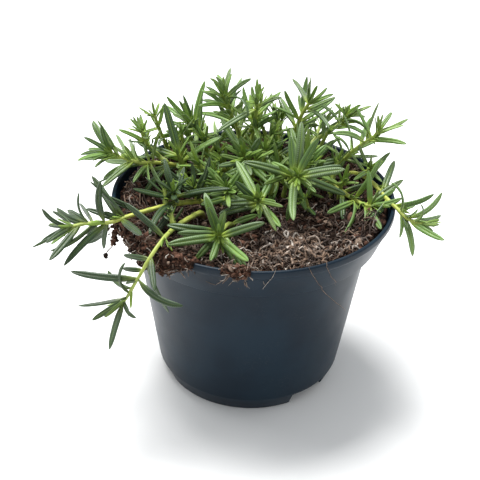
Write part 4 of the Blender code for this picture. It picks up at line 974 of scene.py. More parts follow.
# Leaves placed one by one: the run of stem up to its seat, its tip and, for a bent leaf, its middle
PLACED = {
    "A": [(87.5, (-91, -34, 102), (-86.5, -35.5, 97)), (87.5, (-90, -29, 91)),
          (87.5, (-92.5, -40.5, 92), (-86.5, -38, 93.5)), (87.5, (-87.5, -47.5, 93.5)),
          (84, (-86, -52.5, 88), (-80.5, -43.5, 91.5)), (81, (-87.5, -21, 95), (-81.5, -28, 94.5)),
          (79.5, (-85, -21, 96), (-79, -27, 96.5)), (79.5, (-75.5, -28.5, 108), (-76, -31, 102)),
          (75, (-73.5, -31.5, 88.5)), (71.5, (-81.5, -44, 80)), (71.5, (-65.5, -32.5, 81.5)),
          (65.5, (-71.5, -17.5, 110), (-65, -24.5, 103)), (72.5, (-65, -35, 117), (-66.5, -34.5, 106.5)),
          (66.5, (-71.5, -24, 93.5)), (65, (-64.5, -31, 100)), (65, (-41.5, -47, 94), (-49, -39, 95.5)),
          (34.5, (-45, -29.5, 87), (-41, -20.5, 89.5))],
    "B": [(71.5, (-54.5, -50, 90.5)), (81.5, (-75.5, -60, 88), (-62, -61, 86)),
          (90, (-55.5, -63, 94), (-56.5, -62.5, 85)), (77, (-54.5, -54.5, 86.5)),
          (92.5, (-72.5, -64.5, 74), (-63, -63, 74)), (96, (-63, -57, 62.5)),
          (96, (-58, -78.5, 62), (-56.5, -69.5, 67.5)), (95.5, (-47.5, -69, 71.5), (-52, -65, 72)),
          (81.5, (-27.5, -72, 80.5), (-40.5, -67.5, 82)), (70.5, (-39, -73, 88.5), (-40.5, -64.5, 92)),
          (82, (-55, -63.5, 84.5))],
    "C": [(80, (-77.5, 27.5, 114.5), (-72.5, 18, 110.5)), (80, (-70, 6.5, 123), (-69, 7.5, 115)),
          (80, (-78.5, 10, 115)), (80, (-78, 17.5, 105.5)), (78.5, (-80, -3, 109.5), (-74.5, 3.5, 109)),
          (77, (-72.5, -1, 105.5), (-70, 4.5, 106)), (69, (-68.5, -7.5, 99), (-62.5, 1.5, 101.5)),
          (60.5, (-68.5, 6.5, 90.5), (-61, 10.5, 97)), (68, (-60.5, 12, 110), (-58, 11, 106.5)),
          (67.5, (-58, 19, 106.5)), (69.5, (-60.5, 7.5, 108)), (61.5, (-55.5, 0, 97.5)),
          (49, (-50.5, 5.5, 82.5), (-46, 13, 91))],
    "D": [(18, (-63.5, 17, 116), (-57, 17, 113.5)), (23, (-54.5, 26, 119.5), (-53.5, 20.5, 117)),
          (16, (-52.5, 16, 117), (-51.5, 17, 113.5)), (21.5, (-53.5, 23.5, 117), (-51.5, 20, 116.5))],
    "T": [(0.5, (-36, 3, 87), (-36, 13, 91.5))],
    "E": [(38.5, (-50.5, 36.5, 114), (-47.5, 35.5, 110)), (43, (-44.5, 36.5, 120), (-45.5, 35, 115.5))],
    "F": [(39, (-50, 35.5, 103.5), (-39, 38.5, 105)), (47, (-43, 41.5, 122), (-38.5, 39.5, 116.5)),
          (46, (-41, 46.5, 110), (-36.5, 43, 110.5)), (47, (-35, 41, 119.5), (-33.5, 39.5, 115.5)),
          (45, (-32.5, 37.5, 117.5)), (43, (-25.5, 49.5, 127), (-28.5, 45, 118.5)), (33, (-25, 52, 103.5)),
          (32.5, (-12, 34.5, 102.5), (-18.5, 40, 102)), (31, (-14.5, 32, 96.5), (-19, 38.5, 98))],
    "G": [(55.5, (-19.5, 50.5, 130), (-16.5, 44.5, 128)), (55.5, (-22.5, 40.5, 132.5), (-18, 40, 129.5)),
          (53.5, (-22, 35.5, 134), (-17.5, 38, 129.5)), (55.5, (-16.5, 41.5, 133)),
          (55.5, (-12.5, 51.5, 131.5), (-13.5, 45.5, 129)), (53.5, (-9.5, 43, 134), (-12, 41.5, 129.5)),
          (53, (-6, 36.5, 137), (-10.5, 38.5, 131.5)), (52.5, (-1.5, 30, 125), (-7, 38.5, 129.5)),
          (53.5, (-25.5, 38, 126.5), (-19, 39, 125.5)), (49, (-25, 33, 127.5), (-19, 37, 124)),
          (46.5, (-27, 52.5, 115.5), (-19.5, 47, 117)), (44, (-5.5, 43.5, 121), (-8, 42.5, 118.5)),
          (38.5, (-21, 43, 114.5), (-15.5, 43, 112.5)), (41, (-19, 37, 116), (-15, 40.5, 115.5)),
          (36.5, (-28.5, 56.5, 106.5), (-19.5, 50.5, 108.5))],
    "Q": [(28, (-18.5, 24.5, 112)), (31.5, (3, 38, 130.5), (1, 37, 127)),
          (27.5, (11.5, 37.5, 125.5), (5.5, 37.5, 123.5)), (11, (9.5, 37, 116), (2.5, 39.5, 110)),
          (12.5, (3.5, 39.5, 114.5), (0.5, 40.5, 110)), (17, (11.5, 48, 104.5), (5.5, 45.5, 109)),
          (31, (-5.5, 40, 121.5))],
    "K": [(51.5, (17, 58, 126), (21.5, 50, 124)), (41, (13, 41, 127.5), (16.5, 43, 119.5)),
          (44.5, (20, 55, 119), (21, 49.5, 116.5)), (51.5, (25, 45.5, 130.5), (24.5, 44, 126)),
          (51, (28, 40, 131), (26, 41, 125.5)), (51, (35.5, 43.5, 127), (30, 43, 124)),
          (40.5, (7, 37.5, 120.5), (14.5, 41.5, 116.5)), (48, (34.5, 27.5, 114.5), (30.5, 36, 117.5)),
          (38, (30, 53, 107), (25, 49, 107.5)), (35.5, (30, 39, 110.5), (25, 42.5, 108.5)),
          (35, (12, 43.5, 104.5))],
    "L": [(50.5, (37.5, 44.5, 120)), (51, (43, 47.5, 117)), (50.5, (49, 40, 122), (46, 41.5, 118.5)),
          (46, (45.5, 42, 114.5)), (31.5, (25.5, 53, 101.5))],
    "M": [(49.5, (44.5, 40.5, 116), (52, 34, 116)), (56, (56.5, 25.5, 123.5)),
          (55.5, (64, 35.5, 120.5), (60.5, 29.5, 118.5)), (48.5, (69.5, 13.5, 115.5), (62, 19.5, 114)),
          (46.5, (35, 16, 118), (44, 21.5, 115.5)), (37, (36, 22.5, 113.5), (41.5, 25.5, 109.5)),
          (38, (46, 34, 107))],
    "N": [(53.5, (65, 22, 102.5), (63, 13, 99.5)), (35.5, (62, 32, 96), (57.5, 25.5, 94)),
          (68, (66, -24, 91), (66, -17, 94.5)), (74.5, (71.5, -29, 81.5), (70, -22.5, 89.5)),
          (80, (82.5, -35.5, 94.5), (76, -28.5, 94.5)), (81.5, (79, -24, 95.5)),
          (81, (85, -11.5, 92.5), (79, -17, 93)), (78.5, (83, -16, 107), (77.5, -19, 99.5)),
          (82, (77, -25, 104.5), (77, -24, 99.5)), (71, (73.5, -7, 95)),
          (73, (60, -17.5, 112), (66, -16, 104.5))],
    "S": [(50, (68, 12.5, 91.5), (60, 5.5, 92)), (50, (66, -10.5, 100.5), (59.5, -7, 95)),
          (50.5, (60.5, -21, 84), (56.5, -12.5, 86.5)), (50.5, (52.5, -6.5, 87)),
          (43, (33.5, -9.5, 91), (40.5, -3.5, 90)), (32, (38.5, -8, 79), (40.5, 2.5, 84)),
          (53, (52, 1.5, 107.5), (53, -1.5, 99.5))],
    "H": [(45.5, (-5, 3, 109.5), (6, 2, 107.5)), (44.5, (7.5, 11.5, 104.5), (13, 6.5, 104.5)),
          (54.5, (39.5, -14, 116.5), (29.5, -11, 112.5)), (49.5, (18, -23.5, 94.5), (17.5, -15.5, 97.5)),
          (54, (25.5, -14.5, 107)), (21, (7.5, 3.5, 85.5), (8.5, 12, 88.5))],
    "I": [(15.5, (-15.5, -11, 89), (-6.5, -4, 88.5)), (43, (-14.5, -11, 94.5), (-6, -15.5, 98.5)),
          (43.5, (-8, -25, 114), (-3, -23, 107.5)), (45, (-8.5, -3, 112.5), (-4.5, -12, 108.5)),
          (30.5, (9.5, 6, 101), (6, -2, 98.5)), (16, (12.5, -16.5, 78.5), (6.5, -6.5, 84)),
          (15.5, (-1, -3, 85.5))],
    "J": [(47, (5, -43.5, 105.5), (-4.5, -44, 102)), (15, (4.5, -4.5, 83.5)),
          (47, (-33, -34, 93.5), (-23.5, -39, 96)), (47, (-36, -48.5, 94.5), (-25.5, -47, 96)),
          (47, (-16.5, -57, 93.5), (-15.5, -51, 96)), (47, (0, -61.5, 94), (-8, -53.5, 95.5)),
          (47, (-21.5, -25, 108), (-18, -34.5, 104)), (47, (-18.5, -47, 113.5), (-17, -46, 106))],
    "W": [(19.5, (8, 42, 104.5), (8, 39.5, 97.5)), (20, (5.5, 35.5, 98)),
          (19.5, (-11, 37, 97), (-1.5, 37.5, 94.5))],
    "O": [(28, (43, 29.5, 95.5), (33, 24, 97.5)), (25, (17.5, 38, 109.5), (19.5, 29, 103.5))],
}
print("shoots:", len(SHOOTS), "in", len({shoot.node for shoot in SHOOTS}), "nodes")

# %% The rule for leaves along a shoot
def smooth_route(route, step):
    """Evenly spaced points on a smooth curve through a route's points."""
    points = [Vector(point) for point in route]
    points = [2 * points[0] - points[1], *points, 2 * points[-1] - points[-2]]
    fine = []
    for a, b, c, d in zip(points, points[1:], points[2:], points[3:]):
        for i in range(12):
            t = i / 12
            fine.append(0.5 * (2 * b + (c - a) * t + (2 * a - 5 * b + 4 * c - d) * t * t
                               + (3 * b - a - 3 * c + d) * t ** 3))
    fine.append(points[-2])
    run = np.concatenate([[0], np.cumsum([(b - a).length for a, b in zip(fine, fine[1:])])])
    count = max(3, round(run[-1] / step) + 1)
    places = np.linspace(0, run[-1], count)
    columns = [np.interp(places, run, [point[axis] for point in fine]) for axis in range(3)]
    return [Vector(point) for point in zip(*columns)], run[-1]


def carried_frames(points):
    """The direction along a line at each point, with an upright direction carried along it."""
    ends = [points[0], *points, points[-1]]
    along = [(after - before).normalized() for before, after in zip(ends, ends[2:])]
    up = Vector((0, 1, 0)) if abs(along[0].z) > 0.9 else Vector((0, 0, 1))
    ups = []
    for direction in along:
        up = (up - direction * up.dot(direction)).normalized()
        ups.append(up)
    return along, ups


def blend(values, place):
    """A vector read between the entries of a list, at a place counted in entries."""
    before = min(int(place), len(values) - 2)
    return values[before].lerp(values[before + 1], place - before)


def place_on(shoot, run):
    """The point, direction and upright direction of a shoot at a length along it."""
    line, length = smooth_route(shoot.route, ROUTE_STEP)
    along, ups = carried_frames(line)
    place = min(max(run / length, 0), 1) * (len(line) - 1)
    direction = blend(along, place).normalized()
    up = blend(ups, place)
    return blend(line, place), direction, (up - direction * up.dot(direction)).normalized()


def joint_places(shoot):
    """How far along the stem each pair of leaves sits, closer together towards the tip."""
    leafy = smooth_route(shoot.route, ROUTE_STEP)[1] - BARE_TIP - shoot.bare
    shares = [pair / max(shoot.pairs - 1, 1) for pair in range(shoot.pairs)]
    return [shoot.bare + leafy * (1 - (1 - share) ** CROWDING) for share in shares]


def leaves_as_seen(shoot, table=PLACED):
    """The leaves placed one by one, each bent from its seat on the stem through its middle to its tip."""
    leaves = []
    for run, tip, *middle in table.get(shoot.name, []):
        base, growing, _ = place_on(shoot, run)
        chord = Vector(tip) - base
        forward = chord.normalized()
        upper = growing * 0.6 + Vector((0, 0, 0.5))
        bow, rise = upper, SLIGHT_BOW * chord.length
        if middle:
            bow = Vector(middle[0]) - (base + Vector(tip)) / 2
            bow -= forward * bow.dot(forward)
            rise = min(bow.length, MOST_BOW * chord.length) * math.copysign(1, bow.dot(upper))
            bow *= math.copysign(1, rise)
        upper = bow if abs(rise) > LEAST_BOW * chord.length else upper
        upper = (upper - forward * upper.dot(forward)).normalized()
        half_turn = 2 * math.atan(2 * rise / chord.length)
        curl = 1.5 * half_turn
        shown = upper.lerp(-AWAY, max(0, min(MOST_SHOWN, SHOWN - SHOWN_LESS * abs(rise) / chord.length)))
        facing = math.atan2(forward.dot(upper.cross(shown)), upper.dot(shown))
        facing = max(-math.radians(MOST_TURN), min(math.radians(MOST_TURN), facing))
        leaves.append(Leaf(base, forward, -upper, -0.15 * curl,
                           chord.length * half_turn / math.sin(half_turn), curl, facing))
    return leaves


def set_leaf(seat, direction, up, roll, spread, length, curl):
    """A leaf at a seat on a stem, with its angles in degrees."""
    out = Quaternion(direction, math.radians(roll)) @ up
    return Leaf(seat, direction, out, math.radians(spread), length, math.radians(curl))


def leaves_by_rule(shoot):
    """Crossed pairs of leaves, closer together and shorter towards the tip.

    Where leaves were placed one by one, the rule adds those that point away from the photo's side.
    """
    rng = random.Random(f"{shoot.name} {shoot.seed}")
    leaves = []
    for pair, run in enumerate(joint_places(shoot)):
        share = pair / max(shoot.pairs - 1, 1)
        seat, direction, up = place_on(shoot, run)
        size = shoot.leaf * (0.82 + 0.18 * math.sin(math.pi * min(share * 1.6, 1)))
        size *= 1 - (1 - shoot.tip) * max(0, (share - 0.45) / 0.55) ** 1.5
        spread = shoot.spread[0] + (shoot.spread[1] - shoot.spread[0]) * share ** 1.3
        for side in (0, 180):
            turn, grow, open_out, bend = (rng.uniform(-1, 1) * shoot.stray for _ in range(4))
            roll = shoot.roll + 90 * pair + side + shoot.twist * pair + STRAY_ROLL * turn
            leaf = set_leaf(seat, direction, up, roll, spread + STRAY_SPREAD * open_out,
                            size * (1 + STRAY_LENGTH * grow), shoot.curl + STRAY_CURL * bend)
            heading = leaf.along * math.cos(leaf.spread) + leaf.out * math.sin(leaf.spread)
            if shoot.name not in PLACED or heading.dot(AWAY) > LEAST_AWAY:
                leaves.append(leaf)
    return leaves


print("shoot A by the rule:", len(leaves_by_rule(SHOOTS[0])), "leaves, placed:", len(PLACED["A"]))

# %% Leaves bent clear of each other
def leaf_line(leaf):
    """A leaf's centre line, with the direction across its blade and its lower side at each point."""
    sideways = leaf.along.cross(leaf.out)
    points, directions = [leaf.base], []
    for step in range(LEAF_STEPS):
        angle = leaf.spread + leaf.curl * (step / (LEAF_STEPS - 1) - 0.35)
        directions.append(leaf.along * math.cos(angle) + leaf.out * math.sin(angle))
        points.append(points[-1] + directions[-1] * leaf.length / LEAF_STEPS)
    directions.append(directions[-1])
    across = [Quaternion(direction, leaf.facing) @ sideways for direction in directions]
    return points, across, [side.cross(direction) for side, direction in zip(across, directions)]


def leaf_cloud(leaf):
    """Points spread over a leaf, for finding what it comes close to."""
    points, across, _ = leaf_line(leaf)
    count = round(leaf.length / 1.4)
    cloud = []
    for step in range(count + 1):
        place = step / count * LEAF_STEPS
        width = LEAF_WIDTH * (0.7 if step in (0, count) else 1)
        centre, side = blend(points, place), blend(across, place)
        cloud += [centre + side * width * share for share in (-0.4, 0, 0.4)]
    return cloud


def stem_cloud(shoot):
    """Points spread over a stem's surface."""
    points, _ = smooth_route(shoot.route, 1.5)
    along, ups = carried_frames(points)
    return [point + Quaternion(direction, math.tau * side / 6) @ up * (STEM_RADIUS - 0.4)
            for point, direction, up in zip(points, along, ups) for side in range(6)]


def tree_of(cloud):
    """A search tree that finds the nearest of many points quickly."""
    tree = kdtree.KDTree(len(cloud))
    for number, point in enumerate(cloud):
        tree.insert(point, number)
    tree.balance()
    return tree


def clear_of_pot(point):
    """Whether a leaf can pass here: outside the pot, over its rim, or inside it above the soil."""
    radius = math.hypot(point.x, point.y)
    if point.z > SPILL_TOP + 0.9:
        return True
    if point.z < 1:
        return False
    angle = math.degrees(math.atan2(point.y, point.x)) % 360
    for first, last, foot in SPILLS:
        if first - 2 < angle < last + 2 and point.z > foot - 3 and SOIL_RADIUS - 2 < radius < RIM_RADIUS + 5:
            return False
    if point.z > POT_HEIGHT + 1.2:
        return True
    outer = np.interp(point.z, (CREASE_Z, BAND_FOOT_Z - 0.1, BAND_FOOT_Z, POT_HEIGHT),
                      (CREASE_RADIUS, WALL_TOP_RADIUS, BAND_FOOT_RADIUS + 1, RIM_RADIUS))
    if radius > outer + 1.2:
        return True
    inner = np.interp(point.z, (BAND_FOOT_Z + WALL, POT_HEIGHT), (BAND_FOOT_RADIUS - WALL, LIP_RADIUS))
    return radius < inner - 1.2 and point.z > soil_height(point.x, point.y) + 1.1


# Ways to bend a leaf clear of what it would cross, the smallest first: roll, spread, length
BENDS = sorted(itertools.product((0, 15, -15, 30, -30, 45, -45), (0, 12, -12, 24, -24), (1, 0.8, 0.64)),
               key=lambda way: abs(way[0]) / 15 + abs(way[1]) / 12 + (1 - way[2]) * 9)


def bent_clear(leaf, others, own):
    """The leaf with the smallest bend that keeps it clear of the pot, the soil and other stems, or None.

    It also keeps clear of the leaves on its own stem where one of the bends allows that.
    """
    crossing_own = None
    for roll, lift, size in BENDS:
        tried = leaf._replace(out=Quaternion(leaf.along, math.radians(roll)) @ leaf.out,
                              spread=leaf.spread + math.radians(lift), length=leaf.length * size)
        cloud = leaf_cloud(tried)
        if not all(clear_of_pot(point) for point in cloud[6:]):
            continue
        if any(others.find(point)[2] < CLEARANCE for point in cloud):
            continue
        if own is None or all(own.find(point)[2] > OWN_CLEARANCE for point in free_part(cloud)):
            return tried
        crossing_own = crossing_own or tried
    return crossing_own


def free_part(cloud):
    """A leaf's points past its first third, where it has left its neighbours on the stem."""
    return cloud[len(cloud) // 9 * 3:]


def grow(shoots):
    """The leaves of every shoot, the placed ones first, each bent clear of what it would cross."""
    clouds = {shoot.node: [] for shoot in shoots}
    for shoot in shoots:
        clouds[shoot.node] += stem_cloud(shoot)
    free = {node: [] for node in clouds}
    leaves = {shoot.name: [] for shoot in shoots}
    for laid_out in (leaves_as_seen, leaves_by_rule):
        for node in clouds:
            others = tree_of([point for other in clouds if other != node for point in clouds[other]])
            for shoot in shoots:
                if shoot.node != node:
                    continue
                for leaf in laid_out(shoot):
                    own = tree_of(free[node]) if free[node] else None
                    leaf = bent_clear(leaf, others, own)
                    if leaf:
                        leaves[shoot.name].append(leaf)
                        clouds[node] += leaf_cloud(leaf)
                        free[node] += free_part(leaf_cloud(leaf))
    return leaves


leaves = grow(SHOOTS)
print("leaves:", sum(len(group) for group in leaves.values()))

# %% [markdown]
# ## Stems
# Young rosemary stems are fleshy, squarish and yellow-green, with a thickened joint at each pair of leaves.
# A tube along the shoot's route carries all of that: its section has four soft ribs, and its radius swells
# at the joints and thins to the tip. It starts below the soil or inside its parent, so no end shows.

# %% Building a stem
STEM_AROUND, FINE_STEP = 12, 1.1
JOINT_SWELL, JOINT_LENGTH, JOINT_SPACING, RIB_DEPTH = 0.24, 1.1, 6.3, 0.08
# How much a joint's swelling fades towards the tip, and the share of its radius that a stem ends with
SWELL_FADE, STEM_END = 0.6, 0.35
# Stems that stand in the light, given a brighter yellow-green as painted light, and how much
PAINTED_LIGHT_STEMS = {**dict.fromkeys("ACKNSVZ", 1.0), "B": 0.4}


def add_stem(heap, shoot):
    """A ribbed, jointed tube along the shoot's route."""
    line, length = smooth_route(shoot.route, FINE_STEP)
    along, ups = carried_frames(line)
    joints = joint_places(shoot) + list(np.arange(JOINT_SPACING, shoot.bare, JOINT_SPACING))
    points, notes = [], []
    painted_stem_light = PAINTED_LIGHT_STEMS.get(shoot.name, 0.0)
    for number, (place, direction, up) in enumerate(zip(line, along, ups)):
        share = number / (len(line) - 1)
        run = share * length
        nearest = min(abs(run - joint) for joint in joints)
        swell = math.exp(-(nearest / JOINT_LENGTH) ** 2)
        radius = STEM_RADIUS + (STEM_TIP_RADIUS - STEM_RADIUS) * share
        radius += JOINT_SWELL * swell * (1 - SWELL_FADE * share)
        if share == 1:
            radius *= STEM_END
        for side in range(STEM_AROUND):
            angle = math.tau * side / STEM_AROUND
            rib = 1 + RIB_DEPTH * math.cos(4 * angle)
            points.append(place + Quaternion(direction, angle) @ up * radius * rib)
            notes.append((share, side / STEM_AROUND, swell, painted_stem_light))
    heap.put(points, ring_faces(len(line), STEM_AROUND), 1, look=notes, kind=(0, 0, 0, 1))


print("stems:", STEM_AROUND, "points round, a joint every", JOINT_SPACING, "mm below the leaves")

# %% [markdown]
# ## Leaves
# A rosemary leaf is a thick needle, widest in the middle, with a rounded point. Its top is crowned with a
# sunken midrib, its margins roll under, and its underside is felted with a rib down the middle. A flat
# card can't show the rolled edge, so one closed section of 24 points, or of 12 for small leaves, is
# carried along the leaf's bend.

# %% The shape of a leaf
# One half of the leaf's section from its top middle to its bottom middle: across and up, in half widths
HALF_SECTION = ((0.0, 0.10), (0.10, 0.16), (0.24, 0.27), (0.46, 0.30), (0.68, 0.25), (0.87, 0.12),
                (0.99, -0.07), (0.97, -0.26), (0.80, -0.40), (0.60, -0.37), (0.42, -0.20), (0.20, -0.24),
                (0.0, -0.42))
SMALL_HALF_SECTION = ((0.0, 0.10), (0.22, 0.26), (0.68, 0.24), (0.99, -0.05), (0.78, -0.36), (0.35, -0.24),
                      (0.0, -0.36))
LEAF_STATIONS = (0, 0.03, 0.09, 0.19, 0.31, 0.43, 0.55, 0.67, 0.77, 0.85, 0.91, 0.95, 0.98, 1.0)
SMALL_STATIONS = (0, 0.06, 0.20, 0.42, 0.64, 0.81, 0.93, 1.0)
# How far a leaf is set off its stem's middle, its greatest width, and the share of that at its foot
ROOT_SHIFT, WIDEST_LEAF, LEAF_FOOT = 0.25, 3.9, 0.36
# The share of its length where a leaf has opened, and those where it starts to taper and to round off
OPENED, TAPER_FROM, TAPER, POINT_FROM = 0.30, 0.45, 0.20, 0.72
# Each leaf's own twist in degrees, sway as a share of its length, and thickness
OWN_TWIST, OWN_SWAY, OWN_THICKNESS = 9, 0.02, (0.85, 1.15)
# A leaf's length is noted as a share of this one, in millimetres
NOTED_LENGTH = 30
leaf_luck = random.Random(23)


def full_section(half):
    """The whole section, anticlockwise from the middle of the top, as across, up and whether it is below."""
    left = [(-across, up) for across, up in half[-2:0:-1]]
    ring = [*half, *left][::-1]
    return np.array([(across, up, 1.0 if up < -0.15 else 0.0) for across, up in ring])


SECTION, SMALL_SECTION = full_section(HALF_SECTION), full_section(SMALL_HALF_SECTION)
print("leaf section:", len(SECTION), "points, small one:", len(SMALL_SECTION))


def width_share(share, base):
    """How wide a leaf is at a share of its length: a narrow foot, long even sides and a rounded point."""
    width = base + (1 - base) * math.sin(min(1, share / OPENED) * math.pi / 2) ** 1.1
    if share > TAPER_FROM:
        width *= 1 - TAPER * (share - TAPER_FROM) / (1 - TAPER_FROM)
    if share > POINT_FROM:
        width *= max(0.0, 1 - ((share - POINT_FROM) / (1 - POINT_FROM)) ** 2.0) ** 0.62
    return max(width, 0.03)


def leaf_width(length):
    """Short leaves are narrower than full-grown ones."""
    return min(WIDEST_LEAF, 1.3 + 0.115 * length)


def add_leaf(heap, leaf, width, youth=0.0, fine=True, tone=1.0):
    """A closed leaf, bent as the rule says, with a slight twist and sway of its own."""
    section = SECTION if fine else SMALL_SECTION
    stations = LEAF_STATIONS if fine else SMALL_STATIONS
    sideways = leaf.along.cross(leaf.out)
    twist, sway = math.radians(leaf_luck.gauss(0, OWN_TWIST)), leaf_luck.gauss(0, OWN_SWAY) * leaf.length
    thick = leaf_luck.uniform(*OWN_THICKNESS)
    place, last = leaf.base + leaf.out * ROOT_SHIFT, 0.0
    points, notes = [], []
    for share in stations:
        middle = (share + last) / 2
        angle = leaf.spread + leaf.curl * ((4 * middle - 0.5) / 3 - 0.35)
        direction = leaf.along * math.cos(angle) + leaf.out * math.sin(angle)
        place = place + direction * leaf.length * (share - last)
        last = share
        upper = direction.cross(sideways)
        turn = Quaternion(direction, twist * share + leaf.facing * min(1, share / 0.2))
        side_now, up_now = turn @ sideways, turn @ upper
        centre = place + sideways * sway * share * share
        half = width / 2 * width_share(share, LEAF_FOOT)
        rise = half * thick * (1.25 if share < 0.1 else 1.0)
        for across, up, below in section:
            points.append(centre + side_now * (across * half) + up_now * (up * rise))
            notes.append((across * 0.5 + 0.5, share, below, leaf.length / NOTED_LENGTH))
    # Own tone and youth with the shoot's painted light and shade, the wax bloom, and the share left unshaded
    kind = (leaf_luck.random() * tone, youth * min(tone, 1), leaf_luck.random(), min(tone, 1))
    heap.put(points, ring_faces(len(stations), len(section)), 0, look=notes, kind=kind)


# %% [markdown]
# ## Young leaves
# In the angle of many leaves sits a tuft of tiny ones, and each shoot ends in a tight bunch that is paler
# than the rest. They are too many and too small for the CAD. They follow the same crossing rule, closer to
# the stem and shorter, and half-grown leaves stand between the pairs, most of them on the back shoots.

# %% Tufts, tip bunches and leaves between the pairs
TUFT_CHANCE, BETWEEN_CHANCE, BETWEEN_PLACED, BETWEEN_BUSHY = 0.40, 0.42, 0.16, 0.85
BETWEEN_SIZE, BETWEEN_SIZE_BUSHY = (0.34, 0.72), (0.5, 1.0)
# Shoots that carry many more and longer leaves between their lower pairs
BUSHY = "CDEFGQKLMXY"
# A tip bunch's layers, its inner leaves' length and youth, and how these change with each layer
BUNCH_LAYERS, BUNCH_SIZE, BUNCH_GROWTH, BUNCH_YOUTH, BUNCH_AGEING = 3, 5.0, 2.6, 0.60, 0.16
TUFT_SIZE, TUFT_NUMBERS, TUFT_YOUTH = (3.5, 9.0), (2, 3, 4), 0.85
# These sizes are for a shoot with leaves of this length, and the gap is kept from other stems
USUAL_LEAF, STEM_GAP, BETWEEN_YOUTH = 20, 1.2, (0.05, 0.45)


def tip_bunch(shoot):
    """The tight bunch of young leaves that ends a shoot."""
    length, made = smooth_route(shoot.route, ROUTE_STEP)[1], []
    for layer in range(BUNCH_LAYERS):
        seat, direction, up = place_on(shoot, length - 0.5 - 0.7 * layer)
        for side in (0, 180):
            roll = shoot.roll + 45 + 90 * layer + side + leaf_luck.gauss(0, 10)
            size = (BUNCH_SIZE + BUNCH_GROWTH * layer) * shoot.leaf / USUAL_LEAF
            size *= leaf_luck.uniform(0.75, 1.25)
            spread = 12 + 13 * layer + leaf_luck.gauss(0, 6)
            leaf = set_leaf(seat, direction, up, roll, spread, size, 8)
            made.append((leaf, BUNCH_YOUTH - BUNCH_AGEING * layer))
    return made


def tufts(shoot):
    """Tiny leaves in the angles of the shoot's leaves."""
    made = []
    for number, run in enumerate(joint_places(shoot)):
        seat, direction, up = place_on(shoot, run + 0.5)
        for side in (0, 180):
            if leaf_luck.random() > TUFT_CHANCE:
                continue
            angle = shoot.roll + (90 + shoot.twist) * number + side
            grown = leaf_luck.uniform(*TUFT_SIZE) * shoot.leaf / USUAL_LEAF
            for _ in range(leaf_luck.choice(TUFT_NUMBERS)):
                size = grown * leaf_luck.uniform(0.6, 1.15)
                leaf = set_leaf(seat, direction, up, angle + leaf_luck.gauss(0, 25),
                                leaf_luck.uniform(14, 50), size, leaf_luck.uniform(-5, 20))
                made.append((leaf, TUFT_YOUTH))
    return made


def add_young_leaves(heap, shoot):
    """Adds a shoot's tufts and the bunch at its tip, whose leaves are needles at first."""
    for leaf, youth in tufts(shoot) + tip_bunch(shoot):
        add_leaf(heap, leaf, 0.55 + 0.105 * leaf.length, youth, fine=False)


def stays_clear(leaf, trees, gap):
    """Whether a leaf, past its foot, keeps clear of the pot, the soil and all that is in the trees."""
    cloud = leaf_cloud(leaf)[6:]
    return (all(tree.find(point)[2] > gap for point in cloud for tree in trees)
            and all(clear_of_pot(point) for point in cloud))


def between_leaves(shoot, stems):
    """Half-grown leaves between the pairs, left out where they would run through the pot or another stem."""
    joints, made = joint_places(shoot), []
    bushy = shoot.name in BUSHY
    chance = BETWEEN_PLACED if shoot.name in PLACED else BETWEEN_CHANCE
    for number, (lower, upper) in enumerate(zip(joints, joints[1:])):
        seat, direction, up = place_on(shoot, (lower + upper) / 2)
        share = number / max(len(joints) - 1, 1)
        if bushy:
            chance = BETWEEN_BUSHY * (1 - share)
        spread = shoot.spread[0] + (shoot.spread[1] - shoot.spread[0]) * share
        for side in (0, 180):
            if leaf_luck.random() > chance:
                continue
            roll = shoot.roll + 45 + 90 * number + side + leaf_luck.gauss(0, 14)
            size = shoot.leaf * leaf_luck.uniform(*(BETWEEN_SIZE_BUSHY if bushy else BETWEEN_SIZE))
            leaf = set_leaf(seat, direction, up, roll, spread * 0.85 + leaf_luck.gauss(0, 8), size,
                            shoot.curl + leaf_luck.gauss(0, 14))
            if stays_clear(leaf, stems, STEM_GAP):
                made.append((leaf, leaf_luck.uniform(*BETWEEN_YOUTH)))
    return made


print("bushy shoots:", len(BUSHY), "of", len(SHOOTS))

# %% [markdown]
# ## Low twigs
# Between the long shoots the real plant is packed with short twigs that hide most of the soil and the back
# of the rim. They grow from the soil on the same rule, and a leaf that would touch another is left off.

# %% Laying out the low twigs
TWIG_COUNT, TWIG_APART, TWIG_TRIES = 92, 4.2, 6000
# Where they may root, and the y that parts the front piece from the back one
TWIG_LEFT, TWIG_RIGHT, TWIG_FRONT, TWIG_BACK, TWIG_REACH, TWIG_HALVES = -46, 46, 2, 51, 50.5, 27
# The front corners that stay bare: past this x and in front of this y
BARE_LEFT, BARE_RIGHT = (-26, 24), (30, 14)
# Height of a twig at y = 0, its rise a millimetre backwards and its stray, and how far it can lean
TWIG_TOP, TWIG_RISE, TWIG_STRAY, TWIG_LEAN = 94, 0.32, 4, (2, 8)
TWIG_PAIRS, TWIG_LEAF, TWIG_YOUTH, LEAST_KEPT = (3, 4, 5), (14, 22), (0.0, 0.0, 0.1, 0.3, 0.6), 3
# How narrow their leaves are, and the gap that these keep from every other leaf
LOW_SLIM, LEAF_GAP = 0.78, 1.0
# Shoots that are leafy down to the soil, and the lowest place for a leaf on them
LEAFY, LOWEST_SEAT = "CDEFGQKLMNXYHIWOVZ", 89.5
twig_luck = random.Random(31)


